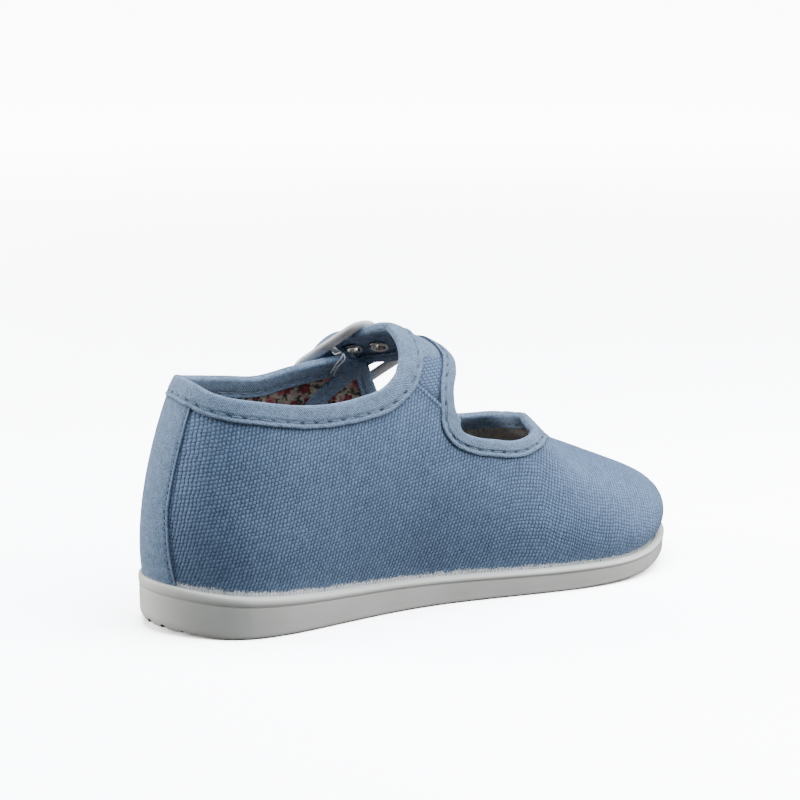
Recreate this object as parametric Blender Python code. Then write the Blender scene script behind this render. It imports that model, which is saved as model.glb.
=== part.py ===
"""A child's canvas mary jane shoe for the left foot, one solid for each piece its maker cut.

The upper is a surface over a last: rows run round the outline of the last, and each row is one
curve that climbs from the sole to the crown. Every piece that lies on the shoe (canvas, tapes,
strip, strap) is cut from that same surface. Tables are in millimetres, with the back of the
sole at x = 0, the toe towards +x and the outer side of the foot towards +y.
"""

import math

import bmesh
import bpy
import numpy as np

MM = 0.001
ORIGIN = (79.278, 0.690, 0.0)

WALL = 1.5
GAP = 0.3
TAPE = 0.5
TAPE_ROLL = 1.1
COLLAR_LEG = 5.2
STRAP_REAR_LEG = 5.9
THROAT_LEG = 4.0
INNER_LEG = 5.0
TUCK = 0.9
STRIP_SKIN = 0.5
STRIP_TOP = 0.522
LIP_RISE = 2.7
LIP_REACH = 0.10
LIP_MIDDLE = 0.535
LIP_SPREAD = 0.15
COLLAR_STEPS = 42
THROAT_STEPS = 42
STRAP_STEPS = 33
GORE_STEPS = 6
STRAP_TIP_LEG = 3.6
STRAP_EASE = 0.12
LIFT_SKEW = 2.355
LIFT_MIDDLE = 0.2543
THROAT_TAPE_SHORT = 3

SOLE_SEAT = 1.2
INSOLE_THICK = 2.0
INSOLE_INSET = 2.2

BUCKLE_LONG = 26.0
BUCKLE_WIDE = 24.5
BUCKLE_BAR = 2.2
BUCKLE_CORNER = 4.0
BUCKLE_CENTRE = (72.4, 21.3, 60.85)
BUCKLE_DOWN = (-0.54, 0.65, -0.53)
BUCKLE_OUT = (0.221, 0.721, 0.662)
CENTRE_BAR = 0.75
CENTRE_BAR_DROP = 0.9
PRONG_MIDDLE = -0.8
PRONG_HALF_WIDE = 0.65
PRONG_HALF_THICK = 0.35
LOOP_MIDDLE = -1.0
LOOP_HALF_WIDE = 3.0
LOOP_HALF_THICK = 0.3
LOOP_SLOT = 1.2
BAR_CLEAR = 0.25

EYELET_BORE = 1.55
EYELET_TUBE = 1.9
EYELET_FLANGE = 2.9
EYELET_HOLE = 2.2

NOTCH_RADIUS = 1.0
NOTCH_HEIGHT = 3.7
NOTCH_SLOPE = -0.29
NOTCH_PITCH = 5.05
NOTCH_FIRST = -11.4
NOTCH_COUNT = 6
NOTCH_DEEP = 8.0

# Finishes: linear colour, roughness, metallic
FINISHES = {
    "canvas": ((0.14, 0.20, 0.30), 0.90, 0.0),
    "tape": ((0.19, 0.26, 0.35), 0.85, 0.0),
    "rubber": ((0.66, 0.66, 0.63), 0.55, 0.0),
    "lining": ((0.56, 0.51, 0.44), 0.90, 0.0),
    "elastic": ((0.23, 0.31, 0.43), 0.90, 0.0),
    "white_metal": ((0.78, 0.78, 0.76), 0.30, 0.0),
    "bright_metal": ((0.60, 0.61, 0.62), 0.30, 1.0),
}

# Round the last, one row each twelfth of the way: the outline where canvas meets sole (x, y),
# the first handle of the climbing curve (flare outwards, rise), the crown (x, z) and the
# handle that arrives there (run outwards, drop).
X, Y, FLARE, RISE, CROWN_X, CROWN_Z, RUN, DROP = range(8)
LAST_ROWS = (
    (1.7, 0.0, 2.8, 21.5, 26.2, 84.8, 12.4, 10.4),
    (12.0, -16.3, 3.5, 22.0, 31.0, 84.8, 20.0, 9.1),
    (32.5, -21.7, 4.0, 24.0, 47.0, 80.8, 22.0, 4.0),
    (69.0, -19.4, 7.5, 26.0, 75.0, 71.8, 20.0, 0.0),
    (107.0, -25.5, 4.0, 17.5, 99.0, 57.8, 18.6, 4.0),
    (139.5, -25.1, 7.2, 6.5, 106.5, 46.4, 27.0, 14.3),
    (156.3, -3.0, 10.6, 16.3, 106.5, 46.4, 32.8, 21.5),
    (140.0, 19.8, 5.2, 10.0, 106.5, 46.4, 27.0, 14.3),
    (105.0, 28.0, 3.0, 17.5, 99.0, 57.8, 20.6, 4.0),
    (68.0, 25.0, 3.0, 26.0, 75.0, 71.8, 22.0, 0.0),
    (33.0, 21.2, 4.0, 24.0, 47.0, 80.8, 22.0, 4.0),
    (12.0, 16.3, 3.5, 22.0, 31.0, 84.8, 20.0, 9.1),
)

# Along the shoe: x, height of the sole's top edge, height of its tread
TOP, TREAD = 1, 2
SOLE_ROWS = (
    (0.0, 14.4, 0.0),
    (12.0, 12.4, 0.0),
    (30.0, 10.5, 0.0),
    (70.0, 8.2, 0.0),
    (115.0, 6.85, 0.0),
    (137.0, 7.1, 1.2),
    (160.0, 10.6, 5.8),
)

# Side of the sole from tread to seat: how far out, share of the height, lift in mm, and how
# much of the row's lift is the bevel that only the back of the heel has
SOLE_SIDE = (
    (0.6, 0.00, 0.0, 0.0),
    (2.25, 0.00, 0.15, 1.0),
    (2.5, 0.25, 0.0, 0.6),
    (2.6, 0.66, 0.0, 0.0),
    (2.35, 0.74, 0.0, 0.0),
    (3.0, 0.80, 0.0, 0.0),
    (3.0, 0.90, 0.0, 0.0),
    (2.3, 0.98, 0.0, 0.0),
    (0.9, 1.00, 0.1, 0.0),
    (0.3, 1.00, -0.3, 0.0),
    (0.3, 1.00, -1.2, 0.0),
)
HEEL_RIM_LOSS = 0.45
TOE_RIM_LOSS = 0.25
HEEL_BEVEL = 3.6
HEEL_BEVEL_END = 15.5

# Cut edges of the canvas as (turn round the last, share of the climb). A climb above one has
# gone over the crown and comes down the other side.
COLLAR = (
    (-0.2615, 0.655),
    (-0.2455, 0.657),
    (-0.2260, 0.622),
    (-0.2083, 0.593),
    (-0.1851, 0.564),
    (-0.1524, 0.573),
    (-0.0900, 0.596),
    (-0.0400, 0.620),
    (0.0000, 0.625),
    (0.0360, 0.616),
    (0.0722, 0.592),
    (0.1280, 0.566),
    (0.1713, 0.547),
    (0.1892, 0.546),
    (0.2137, 0.566),
    (0.2322, 0.608),
    (0.2405, 0.657),
    (0.2430, 0.678),
)
STRAP_REAR = (
    (0.2430, 0.678),
    (0.2478, 0.765),
    (0.2485, 0.850),
    (0.2468, 0.930),
    (0.2458, 1.000),
    (0.2466, 1.100),
    (0.2471, 1.160),
    (0.2460, 1.210),
    (0.2433, 1.255),
    (0.2397, 1.300),
    (0.2354, 1.350),
    (0.2310, 1.400),
    (0.2221, 1.500),
    (0.2129, 1.590),
)
STRAP_FRONT = (
    (0.2758, 0.535),
    (0.2796, 0.670),
    (0.2858, 0.760),
    (0.2898, 0.840),
    (0.2898, 0.920),
    (0.2870, 1.000),
    (0.2850, 1.110),
    (0.2842, 1.200),
    (0.2820, 1.250),
    (0.2776, 1.300),
    (0.2728, 1.350),
    (0.2685, 1.400),
    (0.2604, 1.500),
    (0.2512, 1.600),
    (0.2444, 1.665),
)
# Holes down the middle of the strap, from the crown to the tip
EYELETS = (
    (0.2637, 1.222),
    (0.2550, 1.326),
    (0.2467, 1.423),
    (0.2369, 1.537),
)
# Over the crown: climb of the strap's middle, and how far it stands off the last there
STRAP_STAND_OFF = (
    (1.000, 0.0),
    (1.100, 0.1),
    (1.174, 0.5),
    (1.218, 1.2),
    (1.278, 4.3),
    (1.315, 6.6),
    (1.353, 7.6),
    (1.397, 7.7),
    (1.442, 6.8),
    (1.487, 5.6),
    (1.516, 5.2),
    (1.576, 4.9),
    (1.700, 4.6),
)
THROAT = (
    (0.2758, 0.535),
    (0.2763, 0.515),
    (0.2795, 0.491),
    (0.2905, 0.477),
    (0.3062, 0.491),
    (0.3191, 0.511),
    (0.3279, 0.537),
    (0.3424, 0.601),
    (0.3603, 0.697),
    (0.3850, 0.788),
    (0.4050, 0.834),
    (0.4300, 0.869),
    (0.4620, 0.893),
    (0.5000, 0.896),
    (0.5380, 0.895),
    (0.5690, 0.868),
    (0.5910, 0.818),
    (0.6090, 0.750),
    (0.6467, 0.592),
    (0.6700, 0.524),
    (0.6920, 0.490),
    (0.7100, 0.488),
    (0.7215, 0.522),
    (0.7290, 0.575),
    (0.7385, 0.655),
)


def clear_scene():
    for item in list(bpy.data.objects):
        bpy.data.objects.remove(item, do_unlink=True)


def finish_for(node, kind):
    """A node's own material, from the table of finishes."""
    colour, roughness, metallic = FINISHES[kind]
    made = bpy.data.materials.new(f"{node}_{kind}")
    made.use_nodes = True
    shader = made.node_tree.nodes["Principled BSDF"]
    shader.inputs["Base Color"].default_value = (*colour, 1.0)
    shader.inputs["Roughness"].default_value = roughness
    shader.inputs["Metallic"].default_value = metallic
    return made


def ring_spline(values):
    """Second derivatives of the cubic spline through evenly spaced rows of a closed ring."""
    count = len(values)
    system = np.zeros((count, count))
    for i in range(count):
        system[i, i] = 4
        system[i, (i - 1) % count] = 1
        system[i, (i + 1) % count] = 1
    bend = np.roll(values, -1, 0) - 2 * values + np.roll(values, 1, 0)
    return np.linalg.solve(system, 6 * bend)


LAST = np.array(LAST_ROWS)
LAST_BEND = ring_spline(LAST)


def last_row(turn):
    """Columns of the last at a turn (0 heel, 0.25 inner waist, 0.5 toe)."""
    place = np.mod(turn, 1.0) * len(LAST)
    low = np.floor(place).astype(int) % len(LAST)
    high = (low + 1) % len(LAST)
    t = (place - np.floor(place))[..., None]
    s = 1 - t
    curve = LAST_BEND[low] * (s**3 - s) + LAST_BEND[high] * (t**3 - t)
    return LAST[low] * s + LAST[high] * t + curve / 6


def along(table, x, column):
    """A smooth line through a column of a table whose first column is x."""
    rows = np.array(table)
    slope = np.gradient(rows[:, column], rows[:, 0])
    x = np.clip(x, rows[0, 0], rows[-1, 0])
    i = np.clip(np.searchsorted(rows[:, 0], x) - 1, 0, len(rows) - 2)
    width = rows[i + 1, 0] - rows[i, 0]
    t = (x - rows[i, 0]) / width
    start = (2 * t**3 - 3 * t**2 + 1) * rows[i, column] + (t**3 - 2 * t**2 + t) * width * slope[i]
    end = (3 * t**2 - 2 * t**3) * rows[i + 1, column] + (t**3 - t**2) * width * slope[i + 1]
    return start + end


def outline(turn, out=0.0):
    """Plan of the last, moved outwards, and its outward direction."""
    step = 1e-4
    plan = last_row(turn)[..., [X, Y]]
    run = last_row(turn + step)[..., [X, Y]] - last_row(turn - step)[..., [X, Y]]
    outward = np.stack([run[..., 1], -run[..., 0]], -1)
    outward = outward / np.linalg.norm(outward, axis=-1, keepdims=True)
    return plan + outward * np.asarray(out)[..., None], outward


def throat_lip(turn, climb):
    """The front of the throat flares up towards its edge."""
    near = along(THROAT, turn, 1) - LIP_REACH
    rise = np.clip((climb - near) / LIP_REACH, 0, 1.3)
    return LIP_RISE * rise**2 * np.clip(1 - ((turn - LIP_MIDDLE) / LIP_SPREAD) ** 2, 0, 1)


def surface(turn, climb):
    """Outer face of the upper."""
    turn, climb = np.broadcast_arrays(np.asarray(turn, float), np.asarray(climb, float))
    over = climb > 1
    turn = np.where(over, 1 - turn, turn)
    climb = np.where(over, 2 - climb, climb)
    row = last_row(turn)
    plan, outward = outline(turn)
    foot = np.concatenate([plan, along(SOLE_ROWS, plan[..., 0], TOP)[..., None]], -1)
    crown = np.stack([row[..., CROWN_X], 0 * turn, row[..., CROWN_Z]], -1)
    away = foot[..., :2] - crown[..., :2]
    away = away / np.linalg.norm(away, axis=-1, keepdims=True)
    rising = foot + np.concatenate([outward * row[..., [FLARE]], row[..., [RISE]]], -1)
    arriving = crown + np.concatenate([away * row[..., [RUN]], -row[..., [DROP]]], -1)
    t = climb[..., None]
    s = 1 - t
    face = foot * s**3 + 3 * rising * s**2 * t + 3 * arriving * s * t**2 + crown * t**3
    face[..., 2] += throat_lip(turn, climb)
    return face


def slopes(turn, climb):
    step = 1e-4
    across = (surface(turn + step, climb) - surface(turn - step, climb)) / (2 * step)
    upward = (surface(turn, climb + step) - surface(turn, climb - step)) / (2 * step)
    return across, upward


def facing(turn, climb):
    """Unit normal of the upper, outwards."""
    across, upward = slopes(turn, climb)
    normal = np.cross(across, upward)
    return normal / np.linalg.norm(normal, axis=-1, keepdims=True)


def walk(turn, climb, heading, distance, steps=4):
    """Moves over the surface a distance along a heading given in space."""
    for _ in range(steps):
        across, upward = slopes(turn, climb)
        aa = (across * across).sum(-1)
        bb = (upward * upward).sum(-1)
        ab = (across * upward).sum(-1)
        ha = (heading * across).sum(-1)
        hb = (heading * upward).sum(-1)
        det = aa * bb - ab * ab
        turn = turn + distance / steps * (ha * bb - hb * ab) / det
        climb = climb + distance / steps * (hb * aa - ha * ab) / det
    return turn, climb


def through(knots, count):
    """Evenly spaced places along the smooth path through rows of (turn, climb)."""
    knots = np.array(knots)
    fine = np.concatenate([[0.0], np.cumsum(np.linalg.norm(
        np.diff(surface(knots[:, 0], knots[:, 1]), axis=0), axis=1))])
    table = np.column_stack([fine, knots])
    dense = np.linspace(0, fine[-1], 40 * len(knots))
    path = np.column_stack([along(table, dense, 1), along(table, dense, 2)])
    length = np.concatenate([[0.0], np.cumsum(np.linalg.norm(
        np.diff(surface(path[:, 0], path[:, 1]), axis=0), axis=1))])
    even = np.linspace(0, length[-1], count)
    return np.column_stack([np.interp(even, length, path[:, 0]),
                            np.interp(even, length, path[:, 1])])


def strap_lift(turn, climb):
    """How far the strap stands off the last: the buckle's centre bar and the quarter lie under it."""
    level = climb - LIFT_SKEW * (turn - LIFT_MIDDLE)
    return np.where(climb < 0.99, 0.0, along(STRAP_STAND_OFF, level, 1))


def add_solid(name, points, faces, kind):
    """Makes a closed mesh object from points in millimetres."""
    mesh = bpy.data.meshes.new(name)
    mesh.from_pydata([tuple((np.array(p) - ORIGIN) * MM) for p in points], [], faces)
    work = bmesh.new()
    work.from_mesh(mesh)
    bmesh.ops.recalc_face_normals(work, faces=work.faces)
    work.to_mesh(mesh)
    work.free()
    made = bpy.data.objects.new(name, mesh)
    made.data.materials.append(finish_for(name, kind))
    SHOE.objects.link(made)
    return made


def tube_faces(rows, sides, closed_rows=False):
    """Quads of a skin whose rows are closed loops of the same number of points."""
    faces = []
    for i in range(rows if closed_rows else rows - 1):
        for j in range(sides):
            a = i * sides + j
            b = i * sides + (j + 1) % sides
            c = ((i + 1) % rows) * sides + (j + 1) % sides
            d = ((i + 1) % rows) * sides + j
            faces.append((a, b, c, d))
    return faces


def cap_across(loop):
    """Closes a loop round the shoe with strips that run from its inner to its outer side."""
    count = len(loop)
    faces = [(loop[0], loop[1], loop[-1])]
    for k in range(1, count // 2 - 1):
        faces.append((loop[k], loop[k + 1], loop[count - k - 1], loop[count - k]))
    half = count // 2
    faces.append((loop[half - 1], loop[half], loop[half + 1]))
    return faces


def sheet_solid(name, outer, inner, kind):
    """A grid of points and the same grid one thickness behind it, closed round the edge."""
    rows, columns = outer.shape[:2]
    points = np.concatenate([outer.reshape(-1, 3), inner.reshape(-1, 3)])
    back = rows * columns
    faces = []
    for i in range(rows - 1):
        for j in range(columns - 1):
            a = i * columns + j
            faces.append((a, a + 1, a + columns + 1, a + columns))
            faces.append((back + a, back + a + columns, back + a + columns + 1, back + a + 1))
    rim = [(0, j) for j in range(columns - 1)]
    rim += [(i, columns - 1) for i in range(rows - 1)]
    rim += [(rows - 1, j) for j in range(columns - 1, 0, -1)]
    rim += [(i, 0) for i in range(rows - 1, 0, -1)]
    ids = [i * columns + j for i, j in rim]
    for k, a in enumerate(ids):
        b = ids[(k + 1) % len(ids)]
        faces.append((a, a + back, b + back, b))
    return add_solid(name, points, faces, kind)


def rim_share(turn):
    """The rim is narrower at the back of the heel and at the tip of the toe."""
    x = last_row(turn)[..., X]
    heel = np.clip(1 - x / 20, 0, 1)
    toe = np.clip((x - 140) / 18, 0, 1)
    return 1 - HEEL_RIM_LOSS * heel - TOE_RIM_LOSS * toe


def heel_bevel(x):
    return HEEL_BEVEL * np.clip(1 - x / HEEL_BEVEL_END, 0, 1) ** 1.5


def make_sole(kind, columns=72):
    turn = np.arange(columns) / columns
    rings = []
    for out, share, lift, bevel in SOLE_SIDE:
        plan, _ = outline(turn, out * rim_share(turn))
        x = plan[:, 0]
        top = along(SOLE_ROWS, x, TOP)
        tread = np.maximum(along(SOLE_ROWS, x, TREAD), 0.0)
        z = tread + (top - tread) * share + lift + bevel * heel_bevel(x)
        rings.append(np.column_stack([plan, z]))
    points = np.concatenate(rings)
    faces = tube_faces(len(rings), columns)
    last = (len(rings) - 1) * columns
    faces += cap_across(list(range(columns)))
    faces += cap_across(list(range(last, last + columns)))
    sole = add_solid("sole", points, faces, kind)
    for k in range(NOTCH_COUNT):
        y = NOTCH_FIRST + k * NOTCH_PITCH
        ring = []
        for x in (-NOTCH_DEEP, NOTCH_DEEP):
            for j in range(6):
                angle = math.pi * j / 3
                ring.append((x, y + NOTCH_RADIUS * math.cos(angle),
                             NOTCH_HEIGHT + NOTCH_SLOPE * x + NOTCH_RADIUS * math.sin(angle)))
        sides = tube_faces(2, 6) + [tuple(range(6)), tuple(range(6, 12))]
        join(sole, add_solid(f"heel_notch_{k}", ring, sides, kind), "DIFFERENCE")
    return sole


def make_insole(kind, columns=48):
    turn = np.arange(columns) / columns
    rings = []
    for inset, lift in ((0.5, 0.0), (0.0, 0.3), (0.0, INSOLE_THICK - 0.5), (0.6, INSOLE_THICK)):
        plan, _ = outline(turn, np.full(columns, -INSOLE_INSET - inset))
        z = along(SOLE_ROWS, plan[:, 0], TOP) - SOLE_SEAT + GAP + lift
        rings.append(np.column_stack([plan, z]))
    points = np.concatenate(rings)
    last = (len(rings) - 1) * columns
    faces = tube_faces(len(rings), columns)
    faces += cap_across(list(range(columns)))
    faces += cap_across(list(range(last, last + columns)))
    return add_solid("insole", points, faces, kind)


def opening_loop():
    """The cut edge of the canvas, from the outer front corner round by the heel and back."""
    collar = through(COLLAR, COLLAR_STEPS)
    slant = np.linspace(COLLAR[-1], THROAT[0], 6)
    throat = through(THROAT, THROAT_STEPS)
    return np.concatenate([collar[:-1], slant[:-1], throat[:-1]])


def make_upper(kind):
    loop = opening_loop()
    count = len(loop)
    even = np.linspace(loop[0, 0], loop[0, 0] + 1, count + 1)[:-1]
    foot = 0.55 * even + 0.45 * loop[:, 0]
    shares = np.array([0.0, 0.07, 0.19, 0.34, 0.51, 0.69, 0.85, 0.94, 1.0])
    outer, inner = [], []
    for share in shares:
        turn = loop[:, 0] + (foot - loop[:, 0]) * (1 - share) ** 2
        climb = loop[:, 1] * share
        face = surface(turn, climb)
        outer.append(face)
        inner.append(face - facing(turn, np.maximum(climb, 0.002)) * WALL)
    tuck = np.array([0.0, 0.0, TUCK])
    rings = [inner[0] - tuck, outer[0] - tuck] + outer + inner[::-1]
    points = np.concatenate(rings)
    faces = tube_faces(len(rings), count)
    last = (len(rings) - 1) * count
    for k in range(count):
        faces.append((k, (k + 1) % count, last + (k + 1) % count, last + k))
    return add_solid("upper", points, faces, kind)


def tape_section(outer_leg, inner_leg):
    """A folded tape over a cut edge: distance into the piece, height over its outer face."""
    top = GAP + TAPE
    under = -WALL - GAP - TAPE
    return (
        (outer_leg, GAP), (outer_leg, top), (0.3, top), (-TAPE_ROLL + 0.35, 0.35),
        (-TAPE_ROLL, -WALL / 2), (-TAPE_ROLL + 0.35, -WALL - 0.35), (0.3, under),
        (inner_leg, under), (inner_leg, under + TAPE), (-GAP, under + TAPE), (-GAP, GAP),
    )


def make_tape(name, path, legs, kind):
    """Sweeps a folded tape along a path of (turn, climb) places."""
    turn, climb = path[:, 0], path[:, 1]
    spot = surface(turn, climb)
    tangent = np.gradient(spot, axis=0)
    tangent = tangent / np.linalg.norm(tangent, axis=1, keepdims=True)
    heading = np.cross(tangent, facing(turn, climb))
    sides = len(tape_section(1.0, 1.0))
    rings = np.zeros((len(path), sides, 3))
    for j in range(sides):
        into = np.array([tape_section(leg, min(leg, INNER_LEG))[j][0] for leg in legs])
        height = tape_section(1.0, 1.0)[j][1]
        t, c = walk(turn, climb, heading, into)
        ease = STRAP_EASE * np.clip((c - 1.1) / 0.1, 0, 1)
        height = height + ease * np.sign(height + WALL / 2)
        rings[:, j] = surface(t, c) + facing(t, c) * (height + strap_lift(t, c))[:, None]
    points = rings.reshape(-1, 3)
    faces = tube_faces(len(path), sides)
    faces.append(tuple(range(sides)))
    faces.append(tuple(range(len(points) - sides, len(points))))
    return add_solid(name, points, faces, kind)


def make_heel_strip(kind):
    climbs = np.linspace(0.012, STRIP_TOP, 12)
    half = 0.031 + 0.013 * np.clip(1 - climbs / 0.25, 0, 1) + 0.012 * (climbs / STRIP_TOP) ** 2
    share = np.linspace(-1, 1, 9)
    turn = half[:, None] * share[None, :]
    climb = np.repeat(climbs[:, None], 9, 1)
    face = surface(turn, climb)
    normal = facing(turn, climb)
    return sheet_solid("heel_strip", face + normal * (GAP + STRIP_SKIN), face + normal * GAP, kind)


def strap_grid(start, end, rows, columns=6):
    """Places on the strap between two shares of its length."""
    rear = through(STRAP_REAR, 201)
    front = through(STRAP_FRONT, 201)
    share = np.linspace(start, end, rows) * 200
    index = np.arange(201)
    places = np.zeros((rows, columns, 2))
    for j, mix in enumerate(np.linspace(0, 1, columns)):
        line = rear * (1 - mix) + front * mix
        for axis in (0, 1):
            places[:, j, axis] = np.interp(share, index, line[:, axis])
    return places[..., 0], places[..., 1]


def make_strap_piece(name, start, end, rows, kind):
    turn, climb = strap_grid(start, end, rows)
    normal = facing(turn, climb)
    face = surface(turn, climb) + normal * strap_lift(turn, climb)[..., None]
    return sheet_solid(name, face, face - normal * WALL, kind)


def buckle_axes():
    """Directions of the buckle: forward across the strap, down along it, and outwards."""
    down = np.array(BUCKLE_DOWN) / np.linalg.norm(BUCKLE_DOWN)
    out = np.array(BUCKLE_OUT) - down * np.dot(BUCKLE_OUT, down)
    out = out / np.linalg.norm(out)
    return np.cross(down, out), down, out


def buckle_points(places):
    """Points given as (forward, down, out) from the middle of the buckle, in millimetres."""
    return np.array(BUCKLE_CENTRE) + np.array(places) @ np.array(buckle_axes())


def make_buckle_frame(kind, per_corner=5, sides=8):
    half_wide = (BUCKLE_WIDE - BUCKLE_BAR) / 2
    half_long = (BUCKLE_LONG - BUCKLE_BAR) / 2
    radius = BUCKLE_BAR / 2
    rings = []
    for corner, (sx, sy) in enumerate(((1, 1), (-1, 1), (-1, -1), (1, -1))):
        for k in range(per_corner):
            angle = math.radians(90 * corner + 90 * k / (per_corner - 1))
            x = sx * (half_wide - BUCKLE_CORNER) + BUCKLE_CORNER * math.cos(angle)
            y = sy * (half_long - BUCKLE_CORNER) + BUCKLE_CORNER * math.sin(angle)
            for j in range(sides):
                turn = 2 * math.pi * j / sides
                reach = radius * math.cos(turn)
                rings.append((x + reach * math.cos(angle), y + reach * math.sin(angle),
                              radius * math.sin(turn)))
    rows = 4 * per_corner
    frame = add_solid("buckle_frame", buckle_points(rings), tube_faces(rows, sides, True), kind)
    bar = []
    ends = half_wide + 0.2
    for x, n in ((-ends, 0.0), (-ends + 1.9, -CENTRE_BAR_DROP), (ends - 1.9, -CENTRE_BAR_DROP),
                 (ends, 0.0)):
        for j in range(sides):
            turn = 2 * math.pi * j / sides
            bar.append((x, CENTRE_BAR * math.cos(turn), n + CENTRE_BAR * math.sin(turn)))
    faces = tube_faces(4, sides)
    faces.append(tuple(range(sides)))
    faces.append(tuple(range(3 * sides, 4 * sides)))
    cutter = add_solid("centre_bar", buckle_points(bar), faces, kind)
    join(frame, cutter, "UNION")
    return frame


def swept_band(name, path, middle, half_wide, half_thick, sides, kind):
    """A band across the buckle that follows a path of (down, out) places."""
    path = np.array(path)
    run = np.gradient(path, axis=0)
    run = run / np.linalg.norm(run, axis=1, keepdims=True)
    rings = []
    for (down, out), (along_down, along_out) in zip(path, run):
        for j in range(sides):
            angle = 2 * math.pi * (j + 0.5) / sides
            grow = 1 / math.cos(math.pi / sides)
            across = half_wide * grow * math.cos(angle)
            thick = half_thick * grow * math.sin(angle)
            rings.append((middle + across, down - along_out * thick, out + along_down * thick))
    rows = len(path)
    faces = tube_faces(rows, sides)
    faces += [tuple(range(sides)), tuple(range((rows - 1) * sides, rows * sides))]
    return add_solid(name, buckle_points(rings), faces, kind)


def round_the_bar(start, end, reach, steps):
    """Part of a turn round the centre bar, in degrees from straight down the strap."""
    angles = np.radians(np.linspace(start, end, steps))
    return [(reach * math.cos(a), reach * math.sin(a) - CENTRE_BAR_DROP) for a in angles]


def make_buckle_prong(kind):
    reach = CENTRE_BAR + BAR_CLEAR + PRONG_HALF_THICK
    path = round_the_bar(-110, 125, reach, 9)
    path += [(-1.55, 0.6), (-1.95, 1.9), (-2.25, 3.2), (-2.7, 4.3), (-4.0, 4.75), (-6.0, 4.4),
             (-9.0, 3.2), (-12.3, 1.95), (-13.1, 1.75)]
    return swept_band("buckle_prong", path, PRONG_MIDDLE, PRONG_HALF_WIDE, PRONG_HALF_THICK, 6,
                      kind)


def make_buckle_loop(kind):
    """Tape folded round the centre bar, with its tail on the quarter and a slot for the prong."""
    reach = CENTRE_BAR + BAR_CLEAR + LOOP_HALF_THICK
    path = [(0.6, -CENTRE_BAR_DROP - reach)] + round_the_bar(270, 45, reach, 8)
    path += [(2.4, -1.4), (4.4, -3.4), (8.0, -6.0), (11.8, -8.0), (14.0, -9.2)]
    loop = swept_band("buckle_loop", path, LOOP_MIDDLE, LOOP_HALF_WIDE, LOOP_HALF_THICK, 4, kind)
    box = [(PRONG_MIDDLE + LOOP_SLOT * w, b, n) for b in (-4.0, 5.0)
           for w, n in ((-1, -9.0), (1, -9.0), (1, 3.0), (-1, 3.0))]
    faces = tube_faces(2, 4) + [(0, 1, 2, 3), (4, 5, 6, 7)]
    join(loop, add_solid("loop_slot", buckle_points(box), faces, kind), "DIFFERENCE")
    return loop


def ring_round(name, place, profile, sides, kind):
    """A ring turned round the strap's own normal, from rows of (radius, height over its face)."""
    turn, climb = np.array(place[0]), np.array(place[1])
    step = 0.004
    spots = [surface(turn, c) + facing(turn, c) * strap_lift(turn, c) for c in (climb - step, climb + step)]
    up = spots[1] - spots[0]
    up = up / np.linalg.norm(up)
    side = slopes(turn, climb)[0]
    side = side - up * np.dot(side, up)
    side = side / np.linalg.norm(side)
    normal = np.cross(side, up)
    middle = surface(turn, climb) + facing(turn, climb) * strap_lift(turn, climb)
    rings = []
    for j in range(sides):
        angle = 2 * math.pi * j / sides
        spoke = side * math.cos(angle) + up * math.sin(angle)
        rings += [middle + spoke * radius + normal * height for radius, height in profile]
    return add_solid(name, rings, tube_faces(sides, len(profile), True), kind)


def punch(name, place, kind, sides=10):
    """A plug that cuts an eyelet's hole through the strap."""
    plug = ring_round(name, place, ((0.0, -4.0), (EYELET_HOLE, -4.0), (EYELET_HOLE, 3.0), (0.0, 3.0)),
                      sides, kind)
    work = bmesh.new()
    work.from_mesh(plug.data)
    bmesh.ops.remove_doubles(work, verts=work.verts, dist=1e-7)
    flat = [face for face in work.faces if face.calc_area() < 1e-12]
    bmesh.ops.delete(work, geom=flat, context="FACES")
    work.to_mesh(plug.data)
    work.free()
    return plug


def make_eyelets(strap, kind):
    top, under = 0.7, -WALL - 0.6
    spool = (
        (EYELET_BORE, top + 0.4), (EYELET_FLANGE - 0.3, top + 0.35), (EYELET_FLANGE, top),
        (EYELET_TUBE, top), (EYELET_TUBE, under), (EYELET_FLANGE - 0.5, under),
        (EYELET_FLANGE - 0.5, under - 0.3), (EYELET_BORE, under - 0.3),
    )
    for letter, place in zip("abcd", EYELETS):
        ring_round(f"eyelet_{letter}", place, spool, 10, kind)
        hole = punch(f"eyelet_hole_{letter}", place, kind)
        join(strap, hole, "DIFFERENCE")


def join(target, tool, operation):
    """Adds a Boolean and moves its tool among the helpers."""
    SHOE.objects.unlink(tool)
    CUTTERS.objects.link(tool)
    tool.hide_render = True
    tool.display_type = "WIRE"
    cut = target.modifiers.new(tool.name, "BOOLEAN")
    cut.operation = operation
    cut.solver = "EXACT"
    cut.object = tool


def main():
    make_sole("rubber")
    make_insole("lining")
    make_upper("canvas")
    make_heel_strip("tape")
    collar = through(COLLAR, COLLAR_STEPS)
    rear = through(STRAP_REAR, STRAP_STEPS)
    path = np.concatenate([collar[:-1], rear])
    legs = np.interp(np.arange(len(path)) - COLLAR_STEPS, (-8, 2, 9, 13),
                     (COLLAR_LEG, STRAP_REAR_LEG, STRAP_REAR_LEG, STRAP_TIP_LEG))
    make_tape("collar_binding", path, legs, "tape")
    front = through(STRAP_FRONT, STRAP_STEPS)[::-1]
    throat = through(THROAT, THROAT_STEPS)[:-THROAT_TAPE_SHORT]
    path = np.concatenate([front[:-1], throat])
    make_tape("throat_binding", path, np.full(len(path), THROAT_LEG), "tape")
    step = 1 / (STRAP_STEPS - 1)
    make_strap_piece("elastic_gore", 0.004, (GORE_STEPS - 0.2) * step, GORE_STEPS, "elastic")
    strap = make_strap_piece("strap", GORE_STEPS * step, 1.0, STRAP_STEPS - GORE_STEPS, "tape")
    make_eyelets(strap, "bright_metal")
    make_buckle_frame("white_metal")
    make_buckle_prong("white_metal")
    make_buckle_loop("tape")


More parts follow.
